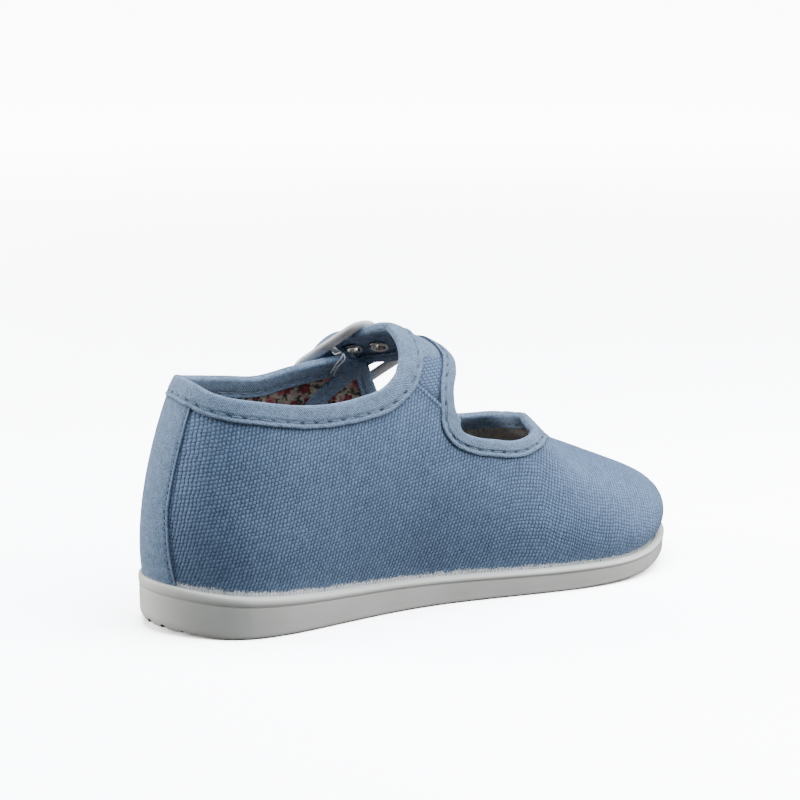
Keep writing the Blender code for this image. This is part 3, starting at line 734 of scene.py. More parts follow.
class Wiring:
    """Short calls for wiring the nodes of one tree."""

    def __init__(self, tree: bpy.types.NodeTree) -> None:
        """Takes the tree to wire."""
        self.tree = tree

    def node(self, kind: str, values: dict | None = None, **settings: object) -> bpy.types.Node:
        """Adds a node.

        Args:
            kind: Blender's name of the node.
            values: Input name or number to a value, or to the socket that feeds it.
            settings: The node's own properties.

        Returns:
            The node.
        """
        node = self.tree.nodes.new(kind)
        for name, value in settings.items():
            setattr(node, name, value)
        for name, value in (values or {}).items():
            self.feed(node.inputs[name], value)
        return node

    def feed(self, socket: Socket, value: object) -> None:
        """Links a socket to another, or sets its value.

        Args:
            socket: The socket that is fed.
            value: A socket to link, or a value to set.
        """
        if isinstance(value, Socket):
            self.tree.links.new(value, socket)
        else:
            socket.default_value = value

    def math(self, operation: str, a: object, b: object = 0.0, clamp: bool = False) -> Socket:
        """One step of arithmetic on values or sockets."""
        return self.node("ShaderNodeMath", {0: a, 1: b}, operation=operation, use_clamp=clamp).outputs[0]

    def plus(self, a: object, b: object) -> Socket:
        """The sum of two values or sockets."""
        return self.math("ADD", a, b)

    def minus(self, a: object, b: object, clamp: bool = False) -> Socket:
        """The first value or socket less the second."""
        return self.math("SUBTRACT", a, b, clamp)

    def times(self, a: object, b: object) -> Socket:
        """The product of two values or sockets."""
        return self.math("MULTIPLY", a, b)

    def over(self, a: object, b: object) -> Socket:
        """The first value or socket divided by the second."""
        return self.math("DIVIDE", a, b)

    def vector(self, operation: str, a: object, b: object) -> Socket:
        """One step of arithmetic on two vectors."""
        return self.node("ShaderNodeVectorMath", {0: a, 1: b}, operation=operation).outputs[0]

    def scaled(self, vector: Socket, scale: object) -> Socket:
        """A vector made longer or shorter."""
        return self.node("ShaderNodeVectorMath", {0: vector, "Scale": scale}, operation="SCALE").outputs[0]

    def drifted(self, vector: Socket, scale: float, detail: float, far: object) -> Socket:
        """A place moved about by smooth noise.

        Args:
            vector: The place.
            scale: Scale of the noise.
            detail: Detail of the noise.
            far: How far the place moves.

        Returns:
            The moved place.
        """
        noise = self.node("ShaderNodeTexNoise", {"Vector": vector, "Scale": scale, "Detail": detail})
        centred = self.vector("SUBTRACT", noise.outputs[1], (0.5, 0.5, 0.5))
        return self.vector("ADD", vector, self.scaled(centred, far))

    def mix(self, share: object, a: object, b: object, blend: str = "MIX") -> Socket:
        """A mix of two colours."""
        return self.node("ShaderNodeMix", {0: share, 6: a, 7: b}, data_type="RGBA",
                         blend_type=blend).outputs[2]

    def rise(self, value: object, low: float, high: float, start: float = 0.0, end: float = 1.0) -> Socket:
        """A soft step that goes from start at low to end at high."""
        return self.node("ShaderNodeMapRange", {0: value, 1: low, 2: high, 3: start, 4: end},
                         interpolation_type="SMOOTHSTEP").outputs[0]

    def split(self, vector: Socket) -> list[Socket]:
        """The three values of a vector."""
        return list(self.node("ShaderNodeSeparateXYZ", {0: vector}).outputs)

    def join(self, x: object, y: object, z: object = 0.0) -> Socket:
        """A vector of three values."""
        return self.node("ShaderNodeCombineXYZ", {0: x, 1: y, 2: z}).outputs[0]

    def noise(self, vector: Socket, scale: float, detail: float = 2.0, rough: float = 0.5) -> Socket:
        """Smooth noise from 0 to 1."""
        return self.node("ShaderNodeTexNoise", {"Vector": vector, "Scale": scale, "Detail": detail,
                                                "Roughness": rough}).outputs[0]


def node_group(name: str, inputs: dict[str, tuple],
               outputs: dict[str, str]) -> tuple[Wiring, dict, bpy.types.Node]:
    """Starts a shader node group.

    Args:
        name: Name of the group.
        inputs: Input name to its kind of socket and its value.
        outputs: Output name to its kind of socket.

    Returns:
        The wiring, the input sockets by name, and the output node.
    """
    tree = bpy.data.node_groups.new(name, "ShaderNodeTree")
    for label, (kind, value) in inputs.items():
        socket = tree.interface.new_socket(label, in_out="INPUT", socket_type=kind)
        if value is not None:
            socket.default_value = value
    for label, kind in outputs.items():
        tree.interface.new_socket(label, in_out="OUTPUT", socket_type=kind)
    wire = Wiring(tree)
    entry = wire.node("NodeGroupInput")
    return wire, {label: entry.outputs[label] for label in inputs}, wire.node("NodeGroupOutput")


VALUE, VECTOR, COLOUR = "NodeSocketFloat", "NodeSocketVector", "NodeSocketColor"


@dataclass(frozen=True)
class PrintLayer:
    """One layer of the flower print.

    Its motifs lie closer with more tightness. The palette holds shares of the motifs, each with the
    colour that begins there.
    """

    tightness: float
    reach: float
    lobe: float
    petals: int
    palette: tuple
    hearts: bool = False


PRINT_GROUND = (0.30, 0.275, 0.23, 1.0)
PRINT_GROUND_PALE = (0.40, 0.37, 0.31, 1.0)
PRINT_HEART = (0.20, 0.045, 0.05, 1.0)
PRINT_LAYERS = (
    PrintLayer(1.7, 0.40, 0.55, 2, ((0.00, (0.035, 0.045, 0.03)), (0.5, (0.075, 0.085, 0.05)),
                                    (0.8, (0.03, 0.05, 0.06)))),
    PrintLayer(1.15, 0.42, 0.25, 4, ((0.00, (0.42, 0.38, 0.32)), (0.45, (0.33, 0.26, 0.23)),
                                     (0.75, (0.40, 0.21, 0.21)))),
    PrintLayer(1.0, 0.40, 0.20, 5, ((0.00, (0.15, 0.010, 0.022)), (0.35, (0.24, 0.022, 0.045)),
                                    (0.6, (0.36, 0.10, 0.13)), (0.85, (0.08, 0.012, 0.025))), True),
)


class Effects:
    """Surface effects that several finishes share, each one shader node group."""

    def __init__(self) -> None:
        """Builds each group once."""
        self.weave = self.plain_weave()
        self.twill = self.fine_twill()
        self.mottle = self.soft_mottle()
        self.print = self.flower_print()

    def plain_weave(self) -> bpy.types.NodeTree:
        """Close weave in which only the dabs of the upright yarns show, staggered from yarn to yarn.

        Returns:
            A group that puts out the height of the dabs and a tone that differs from dab to dab.
        """
        wire, given, out = node_group(
            "plain_weave",
            {"Cloth": (VECTOR, None), "Upright Pitch": (VALUE, 1.1), "Dab Pitch": (VALUE, 1.2),
             "Wander": (VALUE, 0.2), "Lean": (VALUE, 0.25)},
            {"Height": VALUE, "Tone": VALUE})
        u, v, _ = wire.split(wire.drifted(given["Cloth"], 0.4, 2.0, given["Wander"]))
        u = wire.over(u, given["Upright Pitch"])
        column = wire.math("FLOOR", u)
        stagger = wire.times(wire.math("FLOORED_MODULO", column, 2.0), 0.5)
        lean = wire.times(wire.math("FRACT", u), given["Lean"])
        v = wire.plus(wire.over(v, given["Dab Pitch"]), stagger)
        v = wire.minus(v, lean)
        dab = wire.math("FLOOR", v)
        round_u = wire.math("SINE", wire.times(wire.math("FRACT", u), math.pi))
        round_v = wire.math("SINE", wire.times(wire.math("FRACT", v), math.pi))
        plump = wire.plus(wire.times(wire.math("POWER", round_v, 0.75), 0.58), 0.42)
        height = wire.times(wire.math("POWER", round_u, 0.7), plump)
        tint_of_dab = wire.node("ShaderNodeTexWhiteNoise", {"Vector": wire.join(column, dab)},
                                noise_dimensions="2D").outputs[0]
        slub = wire.noise(wire.join(u, wire.times(v, 0.16)), 1.0, 1.0)
        tone = wire.plus(wire.times(tint_of_dab, 0.5), wire.times(slub, 0.5))
        wire.feed(out.inputs["Height"], height)
        wire.feed(out.inputs["Tone"], tone)
        return wire.tree

    def fine_twill(self) -> bpy.types.NodeTree:
        """Fine slanting ribs of a twill tape.

        Returns:
            A group that puts out the height of the ribs and a cloudy tone.
        """
        wire, given, out = node_group(
            "fine_twill",
            {"Cloth": (VECTOR, None), "Pitch": (VALUE, 0.6), "Slant": (VALUE, 1.0)},
            {"Height": VALUE, "Tone": VALUE})
        u, v, _ = wire.split(given["Cloth"])
        lean = wire.plus(u, wire.times(v, given["Slant"]))
        wave = wire.math("SINE", wire.times(wire.over(lean, given["Pitch"]), 2 * math.pi))
        fuzz = wire.rise(wire.noise(wire.join(u, wire.times(v, 1.6)), 1.7, 3.0, 0.7), 0.22, 0.78)
        rib = wire.times(wave, 0.24)
        wire.feed(out.inputs["Height"], wire.plus(rib, fuzz))
        wire.feed(out.inputs["Tone"], wire.rise(wire.noise(given["Cloth"], 0.45, 3.0, 0.65), 0.3, 0.7))
        return wire.tree

    def soft_mottle(self) -> bpy.types.NodeTree:
        """Broad cloudy patches and a fine grain over a whole piece, in its own space.

        Returns:
            A group that puts out patches, from 0 to 1, and grain, from 0 to 1.
        """
        wire, given, out = node_group(
            "soft_mottle", {"Patch Scale": (VALUE, 60.0), "Grain Scale": (VALUE, 900.0)},
            {"Patches": VALUE, "Grain": VALUE})
        place = wire.node("ShaderNodeTexCoord").outputs["Object"]
        for label, scale, detail in (("Patches", "Patch Scale", 3.0), ("Grain", "Grain Scale", 2.0)):
            made = wire.node("ShaderNodeTexNoise", {"Vector": place, "Scale": given[scale], "Detail": detail})
            wire.feed(out.inputs[label], made.outputs[0])
        return wire.tree

    def flower_print(self) -> bpy.types.NodeTree:
        """A scattered small flower print on cream cotton, with sprigs between the flowers.

        Returns:
            A group that puts out the printed colour.
        """
        wire, given, out = node_group(
            "flower_print", {"Cloth": (VECTOR, None), "Flower Pitch": (VALUE, 6.5)}, {"Colour": COLOUR})
        colour = wire.mix(wire.noise(given["Cloth"], 0.3), PRINT_GROUND, PRINT_GROUND_PALE)
        ragged = wire.drifted(given["Cloth"], 1.1, 3.0, 2.1)
        for layer in PRINT_LAYERS:
            scale = wire.over(layer.tightness, given["Flower Pitch"])
            cells = wire.node("ShaderNodeTexVoronoi", {"Vector": ragged, "Scale": scale,
                                                       "Randomness": 0.9}, voronoi_dimensions="2D")
            spot, middle = wire.scaled(ragged, scale), wire.scaled(cells.outputs["Position"], scale)
            x, y, _ = wire.split(wire.vector("SUBTRACT", spot, middle))
            hue, size, _ = wire.split(cells.outputs["Color"])
            angle = wire.plus(wire.math("ARCTAN2", y, x), wire.times(hue, 6.0))
            wave = wire.math("COSINE", wire.times(angle, float(layer.petals)))
            edge = wire.plus(layer.reach, wire.times(wave, layer.reach * layer.lobe))
            edge = wire.times(edge, wire.plus(0.55, wire.times(size, 0.6)))
            far = wire.over(cells.outputs["Distance"], edge)
            ramp = wire.node("ShaderNodeValToRGB", {0: hue})
            ramp.color_ramp.interpolation = "CONSTANT"
            stops = ramp.color_ramp.elements
            for number, (place, shade) in enumerate(layer.palette):
                stop = stops[number] if number < len(stops) else stops.new(place)
                stop.position = place
                stop.color = (*shade, 1.0)
            heart = wire.mix(wire.rise(far, 0.15, 0.55), PRINT_HEART, ramp.outputs[0])
            colour = wire.mix(wire.rise(far, 1.15, 0.85), colour, heart if layer.hearts else ramp.outputs[0])
        wire.feed(out.inputs["Colour"], colour)
        return wire.tree


class Finish:
    """A material with one Principled shader, and the wiring to dress it."""

    def __init__(self, name: str, roughness: float = 0.5, sheen: float = 0.0, metallic: float = 0.0,
                 coat: float = 0.0) -> None:
        """Starts the material with the values that are the same all over.

        Args:
            name: Name of the material.
            roughness: Its roughness, where nothing else feeds it.
            sheen: Weight of its sheen.
            metallic: One for bare metal.
            coat: Weight of a clear coat.
        """
        self.material = bpy.data.materials.new(name)
        self.material.use_nodes = True
        self.wire = Wiring(self.material.node_tree)
        self.shader = self.material.node_tree.nodes["Principled BSDF"]
        for label, value in (("Roughness", roughness), ("Sheen Weight", sheen), ("Metallic", metallic),
                             ("Coat Weight", coat), ("Sheen Roughness", 0.45)):
            self.shader.inputs[label].default_value = value

    def cloth(self) -> Socket:
        """Where a point of the piece lay in its flat cloth, in millimetres."""
        return self.wire.node("ShaderNodeAttribute", attribute_name="cloth").outputs["Vector"]

    def group(self, tree: bpy.types.NodeTree, values: dict) -> bpy.types.Node:
        """Places a shared effect with this finish's own values.

        Args:
            tree: The shared effect.
            values: Input name to a value or socket.

        Returns:
            The group's node.
        """
        node = self.wire.node("ShaderNodeGroup", node_tree=tree)
        for label, value in values.items():
            self.wire.feed(node.inputs[label], value)
        return node

    def mottle(self, effects: Effects, patch_scale: float, grain_scale: float) -> tuple[Socket, Socket]:
        """Cloudy patches and a fine grain over the whole piece."""
        node = self.group(effects.mottle, {"Patch Scale": patch_scale, "Grain Scale": grain_scale})
        return node.outputs["Patches"], node.outputs["Grain"]

    def colour(self, value: object) -> None:
        """Feeds or sets the base colour."""
        self.wire.feed(self.shader.inputs["Base Color"], value)

    def rough(self, value: object) -> None:
        """Feeds the roughness."""
        self.wire.feed(self.shader.inputs["Roughness"], value)

    def bump(self, height: Socket, depth: float) -> None:
        """Lays a height over the surface, in millimetres of depth."""
        made = self.wire.node("ShaderNodeBump", {"Strength": 1.0, "Distance": depth * MM, "Height": height})
        self.wire.feed(self.shader.inputs["Normal"], made.outputs[0])


def tint(red: float, green: float, blue: float) -> Rgba:
    """An opaque colour in linear light."""
    return (red, green, blue, 1.0)


@dataclass(frozen=True)
class CanvasFinish:
    """Blue canvas of plump two-tone yarns, with pale glue caught in it along the sole."""

    upright_pitch: float = 0.91
    dab_pitch: float = 1.15
    yarn: Rgba = tint(0.174, 0.268, 0.432)
    gap: Rgba = tint(0.062, 0.102, 0.178)
    glue: Rgba = tint(0.88, 0.90, 0.92)
    wander: float = 0.75
    tone_share: float = 0.75
    gap_share: float = 0.38
    hair_fine: float = 4.6
    hair_long: float = 1.1
    hair_reach: float = 1.15
    tuft_reach: float = 0.45
    glue_most: float = 0.95
    roughness: float = 0.92
    sheen: float = 0.08
    patch_scale: float = 45.0
    patch_shade: Pair = (0.92, 1.06)
    grain_scale: float = 2600.0
    grain_share: float = 0.25
    bump: float = 0.22

    def made(self, effects: Effects) -> bpy.types.Material:
        """Builds the material.

        Args:
            effects: The shared effects.

        Returns:
            The material.
        """
        finish = Finish("blue_canvas", self.roughness, sheen=self.sheen)
        wire, cloth = finish.wire, finish.cloth()
        weave = finish.group(effects.weave, {"Cloth": cloth, "Upright Pitch": self.upright_pitch,
                                             "Dab Pitch": self.dab_pitch, "Wander": self.wander})
        height, tone = weave.outputs["Height"], weave.outputs["Tone"]
        patches, grain = finish.mottle(effects, self.patch_scale, self.grain_scale)
        share = wire.plus(wire.rise(height, 0.05, 1.05), wire.times(tone, self.tone_share))
        share = wire.minus(share, self.gap_share, clamp=True)
        colour = wire.mix(share, self.gap, self.yarn)
        shade = wire.rise(patches, 0.3, 0.7, *self.patch_shade)
        colour = wire.mix(1.0, colour, wire.join(shade, shade, shade), "MULTIPLY")
        u, v, edge = wire.split(cloth)
        hair = wire.join(wire.times(u, self.hair_fine), wire.times(v, self.hair_long))
        hairs = wire.noise(hair, 1.0, 2.0, 0.6)
        tufts = wire.noise(cloth, 0.35, 1.0)
        ragged = wire.minus(edge, wire.times(wire.rise(hairs, 0.3, 0.75), self.hair_reach))
        ragged = wire.minus(ragged, wire.times(wire.rise(tufts, 0.35, 0.7), self.tuft_reach))
        glue = wire.times(wire.rise(ragged, 0.0, -0.4), self.glue_most)
        finish.colour(wire.mix(glue, colour, self.glue))
        finish.bump(wire.plus(height, wire.times(grain, self.grain_share)), self.bump)
        return finish.material


@dataclass(frozen=True)
class TapeFinish:
    """Folded cotton tape in fine twill, with painted shade in its needle holes and along its fold's edge."""

    name: str
    light: Rgba = tint(0.265, 0.385, 0.575)
    dark: Rgba = tint(0.09, 0.138, 0.196)
    # Painted shade: the near-black colour of the needle holes and of the line along the fold's edge
    hole: Rgba = tint(0.02, 0.032, 0.05)
    slant: float = -0.8
    stitch_line: float = 0.0
    stitch_pitch: float = 3.7
    hole_wide: float = 0.3
    hole_lean: float = 0.22
    hole_stray: float = 0.08
    # How far the needle holes, and then the fold's edge, are darkened towards it as painted shade
    hole_shade_most: float = 0.92
    fold_shade_most: float = 0.75
    roughness: float = 0.88
    sheen: float = 0.1
    rib_pitch: float = 0.55
    rib_share: float = 0.95
    tone_share: float = 0.3
    dark_share: float = 0.12
    bump: float = 0.16

    def made(self, effects: Effects) -> bpy.types.Material:
        """Builds the material.

        Args:
            effects: The shared effects.

        Returns:
            The material.
        """
        finish = Finish(self.name, self.roughness, sheen=self.sheen)
        wire, cloth = finish.wire, finish.cloth()
        twill = finish.group(effects.twill, {"Cloth": cloth, "Pitch": self.rib_pitch, "Slant": self.slant})
        height, tone = twill.outputs["Height"], twill.outputs["Tone"]
        share = wire.plus(wire.times(height, self.rib_share), wire.times(tone, self.tone_share))
        colour = wire.mix(wire.minus(share, self.dark_share, clamp=True), self.dark, self.light)
        # Painted shade: dark dashes in the needle holes along the row of stitches, each a little different,
        # and a thin dark line along the fold's edge
        if self.stitch_line > 0:
            along_tape, _, edge = wire.split(cloth)
            offside = wire.minus(edge, self.stitch_line)
            place = wire.plus(wire.over(along_tape, self.stitch_pitch), wire.times(offside, self.hole_lean))
            place = wire.plus(place, wire.times(tone, self.hole_stray))
            gap = wire.math("ABSOLUTE", wire.minus(wire.math("FRACT", place), 0.5))
            beside = wire.math("ABSOLUTE", offside)
            hole = wire.times(wire.rise(gap, 0.22, 0.12),
                              wire.rise(beside, self.hole_wide * 1.6, self.hole_wide * 0.4))
            depth = wire.node("ShaderNodeTexWhiteNoise", {"W": wire.math("FLOOR", place)},
                              noise_dimensions="1D").outputs[0]
            hole = wire.times(hole, wire.rise(depth, 0.0, 0.6, 0.65, 1.0))
            fold = wire.times(wire.rise(edge, 0.22, 0.05), wire.rise(edge, -0.5, -0.3))
            dark = wire.math("MAXIMUM", wire.times(hole, self.hole_shade_most), wire.times(fold, self.fold_shade_most))
            colour = wire.mix(dark, colour, self.hole)
        finish.colour(colour)
        finish.bump(height, self.bump)
        return finish.material


@dataclass(frozen=True)
class PrintFinish:
    """Printed cotton with a small scattered flower design, which turns drab towards the toe."""

    name: str
    pitch: float = 4.4
    drab: Rgba = tint(0.31, 0.315, 0.29)
    fade: float = 0.0
    drab_from: float = 0.004
    drab_full: float = 0.012
    drab_most: float = 0.8
    roughness: float = 0.9
    sheen: float = 0.08
    yarn_pitch: float = 0.4
    dab_pitch: float = 0.5
    wander: float = 0.1
    bump: float = 0.06

    def made(self, effects: Effects) -> bpy.types.Material:
        """Builds the material.

        Args:
            effects: The shared effects.

        Returns:
            The material.
        """
        finish = Finish(self.name, self.roughness, sheen=self.sheen)
        wire, cloth = finish.wire, finish.cloth()
        printed = finish.group(effects.print, {"Cloth": cloth, "Flower Pitch": self.pitch})
        weave = finish.group(effects.weave, {"Cloth": cloth, "Upright Pitch": self.yarn_pitch,
                                             "Dab Pitch": self.dab_pitch, "Wander": self.wander})
        place, _, _ = wire.split(wire.node("ShaderNodeTexCoord").outputs["Object"])
        share = wire.rise(place, self.drab_from, self.drab_full, self.fade, self.drab_most)
        finish.colour(wire.mix(share, printed.outputs["Colour"], self.drab))
        finish.bump(weave.outputs["Height"], self.bump)
        return finish.material


@dataclass(frozen=True)
class ElasticFinish:
    """Woven elastic web: rows of beads along its ribs, with painted shade beside the hem of the canvas."""

    light: Rgba = tint(0.145, 0.226, 0.37)
    dark: Rgba = tint(0.055, 0.09, 0.152)
    # Painted shade beside the hem of the canvas: its dark colour, then how far up from the hem it reaches
    deep: Rgba = tint(0.02, 0.034, 0.06)
    hem_shade: float = 3.4
    rib_pitch: float = 0.9
    bead_pitch: float = 1.3
    dab_pitch: float = 1.2
    wander: float = 0.12
    # How dark the painted shade beside the hem gets at most
    hem_shade_most: float = 0.8
    roughness: float = 0.9
    sheen: float = 0.12
    bump: float = 0.12

    def made(self, effects: Effects) -> bpy.types.Material:
        """Builds the material.

        Args:
            effects: The shared effects.

        Returns:
            The material.
        """
        finish = Finish("elastic_web", self.roughness, sheen=self.sheen)
        wire, cloth = finish.wire, finish.cloth()
        across, up, from_hem = wire.split(cloth)
        weave = finish.group(effects.weave, {"Cloth": wire.join(up, across), "Upright Pitch": self.rib_pitch,
                                             "Dab Pitch": self.dab_pitch, "Wander": self.wander})
        row = wire.math("FLOOR", wire.over(up, self.rib_pitch))
        place = wire.plus(wire.over(across, self.bead_pitch), wire.times(row, 0.5))
        gap = wire.math("ABSOLUTE", wire.minus(wire.math("FRACT", place), 0.5))
        height = wire.times(weave.outputs["Height"], wire.rise(gap, 0.5, 0.15, 0.05, 1.0))
        colour = wire.mix(wire.rise(height, 0.0, 0.8), self.dark, self.light)
        # Painted shade: darker towards the hem of the canvas, whose folded edge shades the web
        hem = wire.times(wire.rise(from_hem, self.hem_shade, 0.6), self.hem_shade_most)
        finish.colour(wire.mix(hem, colour, self.deep))
        finish.bump(height, self.bump)
        return finish.material


@dataclass(frozen=True)
class RubberFinish:
    """Moulded off-white rubber, a little dull, darker along the bottom edge, with painted shade in the
    groove.
    """

    clean: Rgba = tint(0.72, 0.727, 0.675)
    dull: Rgba = tint(0.66, 0.667, 0.612)
    # Dark colour of the darkening along the bottom edge and of the painted shade in the groove
    bottom_dark_and_groove_shade: Rgba = tint(0.16, 0.155, 0.14)
    bottom_dark_most: float = 0.75
    # How dark the painted shade in the groove gets, and half its width
    groove_shade_most: float = 0.18
    groove_half: float = 0.03
    roughness: Pair = (0.42, 0.58)
    patch_scale: float = 70.0
    grain_scale: float = 1500.0
    grain_share: float = 0.3
    bump: float = 0.06

    def made(self, effects: Effects) -> bpy.types.Material:
        """Builds the material.

        Args:
            effects: The shared effects.

        Returns:
            The material.
        """
        finish = Finish("white_rubber")
        wire = finish.wire
        patches, grain = finish.mottle(effects, self.patch_scale, self.grain_scale)
        colour = wire.mix(wire.rise(patches, 0.35, 0.7), self.clean, self.dull)
        _, height, line = wire.split(finish.cloth())
        # Darker along the bottom edge, in ragged patches
        ragged = wire.plus(height, wire.times(patches, 0.5))
        bottom_dark = wire.times(wire.rise(ragged, 0.95, 0.50), wire.rise(grain, 0.15, 0.5))
        colour = wire.mix(wire.times(bottom_dark, self.bottom_dark_most), colour, self.bottom_dark_and_groove_shade)
        # Painted shade: a thin dark line along the groove under the rim
        groove_shade = wire.rise(wire.math("ABSOLUTE", line), self.groove_half, 0.0)
        finish.colour(wire.mix(wire.times(groove_shade, self.groove_shade_most), colour, self.bottom_dark_and_groove_shade))
        finish.rough(wire.rise(grain, 0.3, 0.7, *self.roughness))
        finish.bump(wire.plus(wire.times(grain, self.grain_share), patches), self.bump)
        return finish.material


@dataclass(frozen=True)
class EnamelFinish:
    """White enamel over cast metal, faintly worn."""

    white: Rgba = tint(0.78, 0.78, 0.76)
    worn: Rgba = tint(0.62, 0.62, 0.60)
    roughness: Pair = (0.24, 0.4)
    coat: float = 0.25
    patch_scale: float = 260.0
    grain_scale: float = 2200.0
    bump: float = 0.03

    def made(self, effects: Effects) -> bpy.types.Material:
        """Builds the material.

        Args:
            effects: The shared effects.

        Returns:
            The material.
        """
        finish = Finish("white_enamel", coat=self.coat)
        wire = finish.wire
        patches, grain = finish.mottle(effects, self.patch_scale, self.grain_scale)
        finish.colour(wire.mix(wire.rise(patches, 0.45, 0.75), self.white, self.worn))
        finish.rough(wire.rise(grain, 0.3, 0.7, *self.roughness))
        finish.bump(patches, self.bump)
        return finish.material


@dataclass(frozen=True)
class NickelFinish:
    """Bright plated metal with fine handling marks."""

    bright: Rgba = tint(0.66, 0.64, 0.60)
    dull: Rgba = tint(0.42, 0.39, 0.34)
    roughness: Pair = (0.26, 0.34)
    patch_scale: float = 150.0
    grain_scale: float = 700.0

    def made(self, effects: Effects) -> bpy.types.Material:
        """Builds the material.

        Args:
            effects: The shared effects.

        Returns:
            The material.
        """
        finish = Finish("plated_metal", metallic=1.0)
        wire = finish.wire
        patches, grain = finish.mottle(effects, self.patch_scale, self.grain_scale)
        finish.colour(wire.mix(wire.rise(patches, 0.3, 0.8), self.bright, self.dull))
        finish.rough(wire.rise(grain, 0.3, 0.7, *self.roughness))
        return finish.material


@dataclass(frozen=True)
class ThreadFinish:
    """Spun sewing thread."""

    name: str
    light: Rgba
    dark: Rgba
    roughness: float = 0.75
    sheen: float = 0.2
    patch_scale: float = 500.0
    grain_scale: float = 4000.0
    bump: float = 0.05

    def made(self, effects: Effects) -> bpy.types.Material:
        """Builds the material.

        Args:
            effects: The shared effects.

        Returns:
            The material.
        """
        finish = Finish(self.name, self.roughness, sheen=self.sheen)
        patches, grain = finish.mottle(effects, self.patch_scale, self.grain_scale)
        finish.colour(finish.wire.mix(patches, self.dark, self.light))
        finish.bump(grain, self.bump)
        return finish.material


class Stock:
    """Every finish of the shoe, made once."""

    def __init__(self) -> None:
        """Builds the shared effects and then the materials."""
        effects = Effects()
        self.canvas = CanvasFinish().made(effects)
        self.lining = PrintFinish("flower_lining").made(effects)
        self.insole = PrintFinish("flower_insole", pitch=3.6, fade=0.72).made(effects)
        self.binding = TapeFinish("binding_tape", stitch_line=Binding.stitch_in).made(effects)
        self.heel = TapeFinish("heel_tape", tint(0.26, 0.395, 0.60), tint(0.08, 0.13, 0.215), slant=0.8,
                               stitch_line=HeelTape.stitch_in, stitch_pitch=HeelTape.stitch_pitch,
                               hole_wide=0.22, hole_lean=0.0).made(effects)
        self.strap = TapeFinish("strap_cloth").made(effects)
        self.elastic = ElasticFinish().made(effects)
        self.rubber = RubberFinish().made(effects)
        self.enamel = EnamelFinish().made(effects)
        self.metal = NickelFinish().made(effects)
        self.thread = ThreadFinish("blue_thread", tint(0.18, 0.26, 0.365),
                                   tint(0.12, 0.175, 0.255)).made(effects)
        self.white_thread = ThreadFinish("white_thread", tint(0.75, 0.76, 0.76),
                                         tint(0.5, 0.51, 0.52)).made(effects)


def place_piece(piece: bpy.types.Object, slot: Slot, *nodes: str) -> bpy.types.Object:
    """Rides a finished piece on the shoe and says which solids it stands for.

    Args:
        piece: The finished piece.
        slot: The record's slot that its finish comes from; it is not used.
        nodes: Names of the solids that it replaces.

    Returns:
        The same piece.
    """
    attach(piece, "root")
    if nodes:
        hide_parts(*nodes)
    faces = sum(len(face.vertices) - 2 for face in piece.data.polygons)
    LOG.info("%s: %d triangles, stands for %s", piece.name, faces, ", ".join(nodes) or "no solid")
    return piece


class PointTree:
    """A Geometry Nodes tree that sets one thing on each of a piece's points.

    A point carries two directions: the run that the thing's x axis follows, and where it stands up to.
    """

    def __init__(self, name: str, sizes: tuple[str, ...]) -> None:
        """Starts the tree.

        Args:
            name: Name of the tree.
            sizes: Names of the sizes that it takes, beside the points and the material.
        """
        self.tree = bpy.data.node_groups.new(name, "GeometryNodeTree")
        kinds = {"Geometry": "Geometry", **{label: "Float" for label in sizes}, "Material": "Material"}
        for label, kind in kinds.items():
            self.tree.interface.new_socket(label, in_out="INPUT", socket_type=f"NodeSocket{kind}")
        self.tree.interface.new_socket("Geometry", in_out="OUTPUT", socket_type="NodeSocketGeometry")
        self.wire = Wiring(self.tree)
        self.given = self.wire.node("NodeGroupInput").outputs

    def circle(self, points: int, radius: Socket) -> Socket:
        """A round curve of straight pieces."""
        values = {"Resolution": points, "Radius": radius}
        return self.wire.node("GeometryNodeCurvePrimitiveCircle", values).outputs[0]

    def swept(self, curve: Socket, profile: Socket, caps: bool = False) -> Socket:
        """The mesh of a profile swept along a curve."""
        values = {"Curve": curve, "Profile Curve": profile, "Fill Caps": caps}
        return self.wire.node("GeometryNodeCurveToMesh", values).outputs[0]

    def attribute(self, name: str) -> Socket:
        """A direction that the points carry."""
        values = {"Name": name}
        return self.wire.node("GeometryNodeInputNamedAttribute", values, data_type="FLOAT_VECTOR").outputs[0]

    def finish(self, thing: Socket, values: dict | None = None) -> bpy.types.NodeTree:
        """Sets the thing on the points and puts it out with its material.

        Args:
            thing: What is set on each point.
            values: More inputs of the node that sets it.

        Returns:
            The finished tree.
        """
        wire = self.wire
        turned = wire.node("FunctionNodeAlignRotationToVector", {"Vector": self.attribute("run")}, axis="X")
        upright = wire.node("FunctionNodeAlignRotationToVector",
                            {"Rotation": turned.outputs[0], "Vector": self.attribute("stand")},
                            axis="Z", pivot_axis="X")
        laid = wire.node("GeometryNodeInstanceOnPoints",
                         {"Points": self.given["Geometry"], "Instance": thing,
                          "Rotation": upright.outputs[0], **(values or {})})
        solid = wire.node("GeometryNodeRealizeInstances", {0: laid.outputs[0]})
        smooth = wire.node("GeometryNodeSetShadeSmooth", {0: solid.outputs[0]})
        dressed = wire.node("GeometryNodeSetMaterial", {"Geometry": smooth.outputs[0],
                                                        "Material": self.given["Material"]})
        wire.feed(wire.node("NodeGroupOutput").inputs[0], dressed.outputs[0])
        return self.tree


